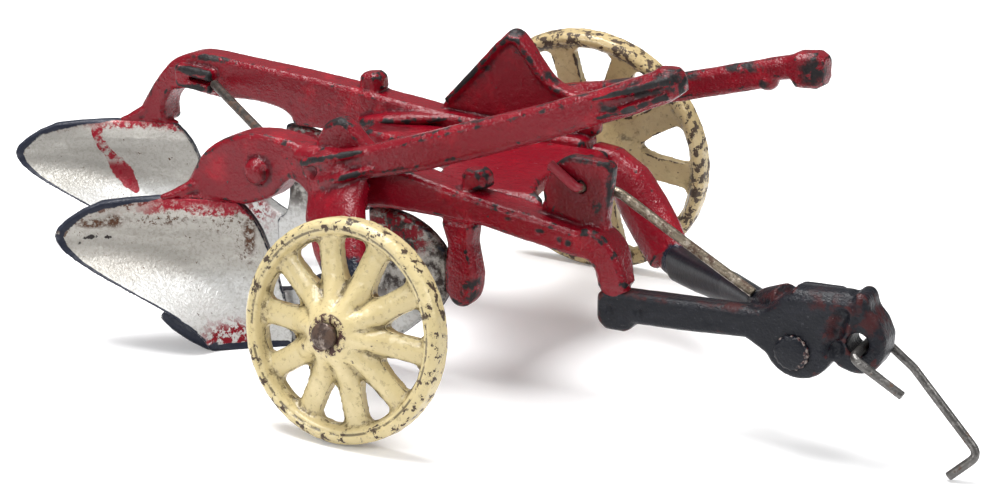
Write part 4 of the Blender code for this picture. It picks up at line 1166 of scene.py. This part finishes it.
HITCH = {"extra": hitch_details, "marks": PUNCH_MARKS + EYE_GROOVE, "waves": 0.00003}
PLAIN = {"voxel": 0.0002, "smoothing": 24, "waves": 0.00001}
FLUTED = {"voxel": 0.00016, "swell": 0.0, "smoothing": 3, "waves": 0.00003}
cast_skin("hitch", ("right_drawbar", "hitch_cheek"), black_paint, "black_paint", **HITCH)
cast_skin("left_bar", ("left_drawbar",), bar_paint, "black_paint", **PLAIN)
cast_skin("fluted_rivet", ("hitch_rivet",), rivet_paint, "black_paint", **FLUTED)

# %% [markdown]
# Each wheel was cast with ten convex spokes that run up into the hub with valleys between them.
# The melted skin is dense enough to carve, which is simpler than to model ten spokes that blend:
# on its outer face each vertex sinks by how far it is from its spoke's middle, and a shallow groove
# runs round the rim. Carving moves edges, so how proud each vertex stands is measured again.

# %% Wheels
SPOKES = 10
SPOKE_WIDTH = 2.7
VALLEY_DEPTH = 1.9
VALLEY_END, VALLEY_FADE = 0.75, 0.3
HUB_SHARE, HUB_BANK = 0.19, 0.14
RIM_BANK = 0.05
GROOVE_HALF, GROOVE_DEPTH = 0.022, 0.22
FIRST_SPOKE = {"right": 32.8, "left": 6.0}


def carve_spokes(wheel, side):
    """Sink the outer face into valleys and a groove; shares are of the wheel's radius."""
    joint = joints[side + "_wheel_spin"]
    outward = Vector(joint["axis"]).normalized()
    turn = np.array(outward.to_track_quat("Z", "X").to_matrix())
    spots, normals = read(wheel.data, "co"), read(wheel.data, "normal")
    local = (spots - np.array(joint["pos_m"])) @ turn
    reach = np.hypot(local[:, 0], local[:, 1])
    step = math.tau / SPOKES
    angle = np.arctan2(local[:, 1], local[:, 0]) - math.radians(FIRST_SPOKE[side])
    from_window = (angle + step / 2) % step - step / 2
    from_spoke = step / 2 - np.abs(from_window)
    share = reach / WHEEL_RADIUS[side]
    across = reach * np.sin(from_spoke) / (SPOKE_WIDTH * DRAWN)
    valley = from_spoke / (step / 2)
    bank = np.clip((share - HUB_SHARE) / HUB_BANK, 0, 1)
    edge = np.clip((RIM_SHARE - share) / RIM_BANK, 0, 1)
    fading = np.clip((VALLEY_END - share) / VALLEY_FADE, 0, 1)
    sink = np.maximum(across ** 2, VALLEY_DEPTH * bank * valley ** 2 * fading)
    sink = np.minimum(sink, VALLEY_DEPTH) * bank * edge
    groove = GROOVE_DEPTH * np.clip(1 - ((share - GROOVE_SHARE) / GROOVE_HALF) ** 2, 0, 1)
    facing = np.clip((normals @ np.array(outward) - 0.15) / 0.4, 0, 1)
    drop = (sink + groove) * facing * DRAWN
    write_places(wheel.data, spots - np.array(outward) * drop[:, None])
    wheel.data.attributes.remove(wheel.data.attributes["proud"])
    return mark_proud(wheel)


WHEEL = {"swell": 0.00004, "smoothing": 4, "waves": 0.00005}
for side, cream in cream_paint.items():
    solid, body = side + "_wheel", side + "_wheel_body"
    made = cast_skin(side + "_spoked_wheel", (solid,), cream, "cream_paint", body=body, **WHEEL)
    print(made.name, "carved, proud", carve_spokes(made, side).round(1))

# %% [markdown]
# Pins, rods and the wire are slender, so they are melted with a finer voxel and hardly swollen.
# The solids could be shown as they are, but drawn wire is never quite even. The wire rides on the
# hook's own body, and the rest stays with the frame.

# %% Pins, rods and wire
SLENDER = {"voxel": 0.00018, "swell": 0.00005, "smoothing": 4, "waves": 0.00003}
for name, node, steel, body in (
    ("right_pin", "right_axle_pin", pin_steel, "frame"),
    ("left_pin", "left_axle_pin", pin_steel, "frame"),
    ("brace", "brace_rod", brace_steel, "frame"),
    ("lift", "lift_rod", rod_steel, "frame"),
    ("hook_wire", "wire_hook", wire_steel, "hook_body"),
):
    cast_skin(name, (node,), steel, "bare_steel", body=body, **SLENDER)

# %% [markdown]
# A pale table under broad soft light, as in a catalogue photograph. The camera sees the table and
# the room as white, while the toy reflects a dimmer room, which keeps its paint deep. The table
# glows only for the camera's own rays, and more so far from the toy, so the shadow stays.

# %% Table
TABLE_HALF = 3
TABLE_WHITE = (0.9, 0.9, 0.905, 1)
NEAR_TOY, FAR_FROM_TOY = 0.25, 0.9
GLOW_NEAR, GLOW_FAR = 0.15, 0.95
floor_mesh = bpy.data.meshes.new("table")
corners = [(x * TABLE_HALF, y * TABLE_HALF, 0) for x, y in ((-1, -1), (1, -1), (1, 1), (-1, 1))]
floor_mesh.from_pydata(corners, [], [(0, 1, 2, 3)])
table = bpy.data.objects.new("table", floor_mesh)
bpy.context.scene.collection.objects.link(table)
table_paint, tree, shader = start_material("table_white")
shader.inputs["Base Color"].default_value = TABLE_WHITE
shader.inputs["Roughness"].default_value = 0.6
shader.inputs["Specular IOR Level"].default_value = 0.15
shader.inputs["Emission Color"].default_value = (1, 1, 1, 1)
seen = put(tree, "ShaderNodeLightPath").outputs["Is Camera Ray"]
outward = vector_sum(tree, "LENGTH", spot_in(tree)).outputs["Value"]
lift = ramp(tree, outward, NEAR_TOY, FAR_FROM_TOY, GLOW_NEAR, GLOW_FAR)
tree.links.new(times(tree, seen, lift), shader.inputs["Emission Strength"])
floor_mesh.materials.append(table_paint)
print("table laid")

# %% [markdown]
# Three square softboxes light the toy: a strong one overhead, above the plow bottoms, a weak one
# on the camera's side that opens up the shade, and a weaker one at the hitch end. Lamps of some
# size give the soft-edged shadow and the long gloss that enamel shows in a studio.

# %% Lamps
LAMPS = (
    ("top softbox", (-0.14, 0.0, 0.72), (0, 0, 0), 0.4, 7.6),
    ("front softbox", (-0.25, -0.65, 0.4), (-0.02, 0, 0.02), 0.22, 2.0),
    ("side softbox", (0.6, -0.1, 0.45), (0, 0, 0.03), 0.25, 1.6),
)


def soft_lamp(name, spot, aim, size, power):
    """A square softbox that points from a spot at its aim."""
    lamp = bpy.data.lights.new(name, "AREA")
    lamp.shape = "SQUARE"
    lamp.size = size
    lamp.energy = power
    made = bpy.data.objects.new(name, lamp)
    bpy.context.scene.collection.objects.link(made)
    made.location = spot
    made.rotation_euler = (Vector(aim) - Vector(spot)).to_track_quat("-Z", "Y").to_euler()


for lamp in LAMPS:
    soft_lamp(*lamp)
print(len(LAMPS), "lamps hung")

# %% [markdown]
# The room is a world that glows from dim below to brighter above. Camera rays see it as white.

# %% Room
GLOW_BELOW, GLOW_ABOVE = 0.12, 0.5
world = bpy.data.worlds.new("studio")
world.use_nodes = True
tree = world.node_tree
high = put(tree, "ShaderNodeTexCoord").outputs["Generated"]
high = put(tree, "ShaderNodeSeparateXYZ", {0: high}).outputs["Z"]
glow = ramp(tree, high, -0.1, 0.9, GLOW_BELOW, GLOW_ABOVE)
seen = put(tree, "ShaderNodeLightPath").outputs["Is Camera Ray"]
strength = reckon(tree, "MAXIMUM", glow, seen)
tree.links.new(strength, tree.nodes["Background"].inputs["Strength"])
tree.nodes["Background"].inputs["Color"].default_value = (1, 1, 1, 1)
bpy.context.scene.world = world
print("room ready")

# %% [markdown]
# The camera stands where the photograph's did: to the toy's right, a little above, fairly close.
# Its turn, tilt and distance were worked out from how the two wheels look there, so the
# perspective is the same.

# %% Camera
TURN, TILT = math.radians(29.09), math.radians(18.79)
SHOT_FROM = (169.1, -298.6, 135.8)
FOCAL_LENGTH = 68.98
ahead = Vector((-math.sin(TURN) * math.cos(TILT), math.cos(TURN) * math.cos(TILT), -math.sin(TILT)))
rightward = Vector((math.cos(TURN), math.sin(TURN), 0.0))
lens = bpy.data.cameras.new("camera")
lens.lens = FOCAL_LENGTH
lens.sensor_width = 36.0
lens.clip_start = 0.01
camera = bpy.data.objects.new("camera", lens)
bpy.context.scene.collection.objects.link(camera)
pose = Matrix((rightward, rightward.cross(ahead), -ahead)).transposed().to_4x4()
pose.translation = place(*SHOT_FROM)
camera.matrix_world = pose
bpy.context.scene.camera = camera
bpy.context.scene.view_settings.view_transform = "Standard"
print("camera at", [round(value, 4) for value in pose.translation])
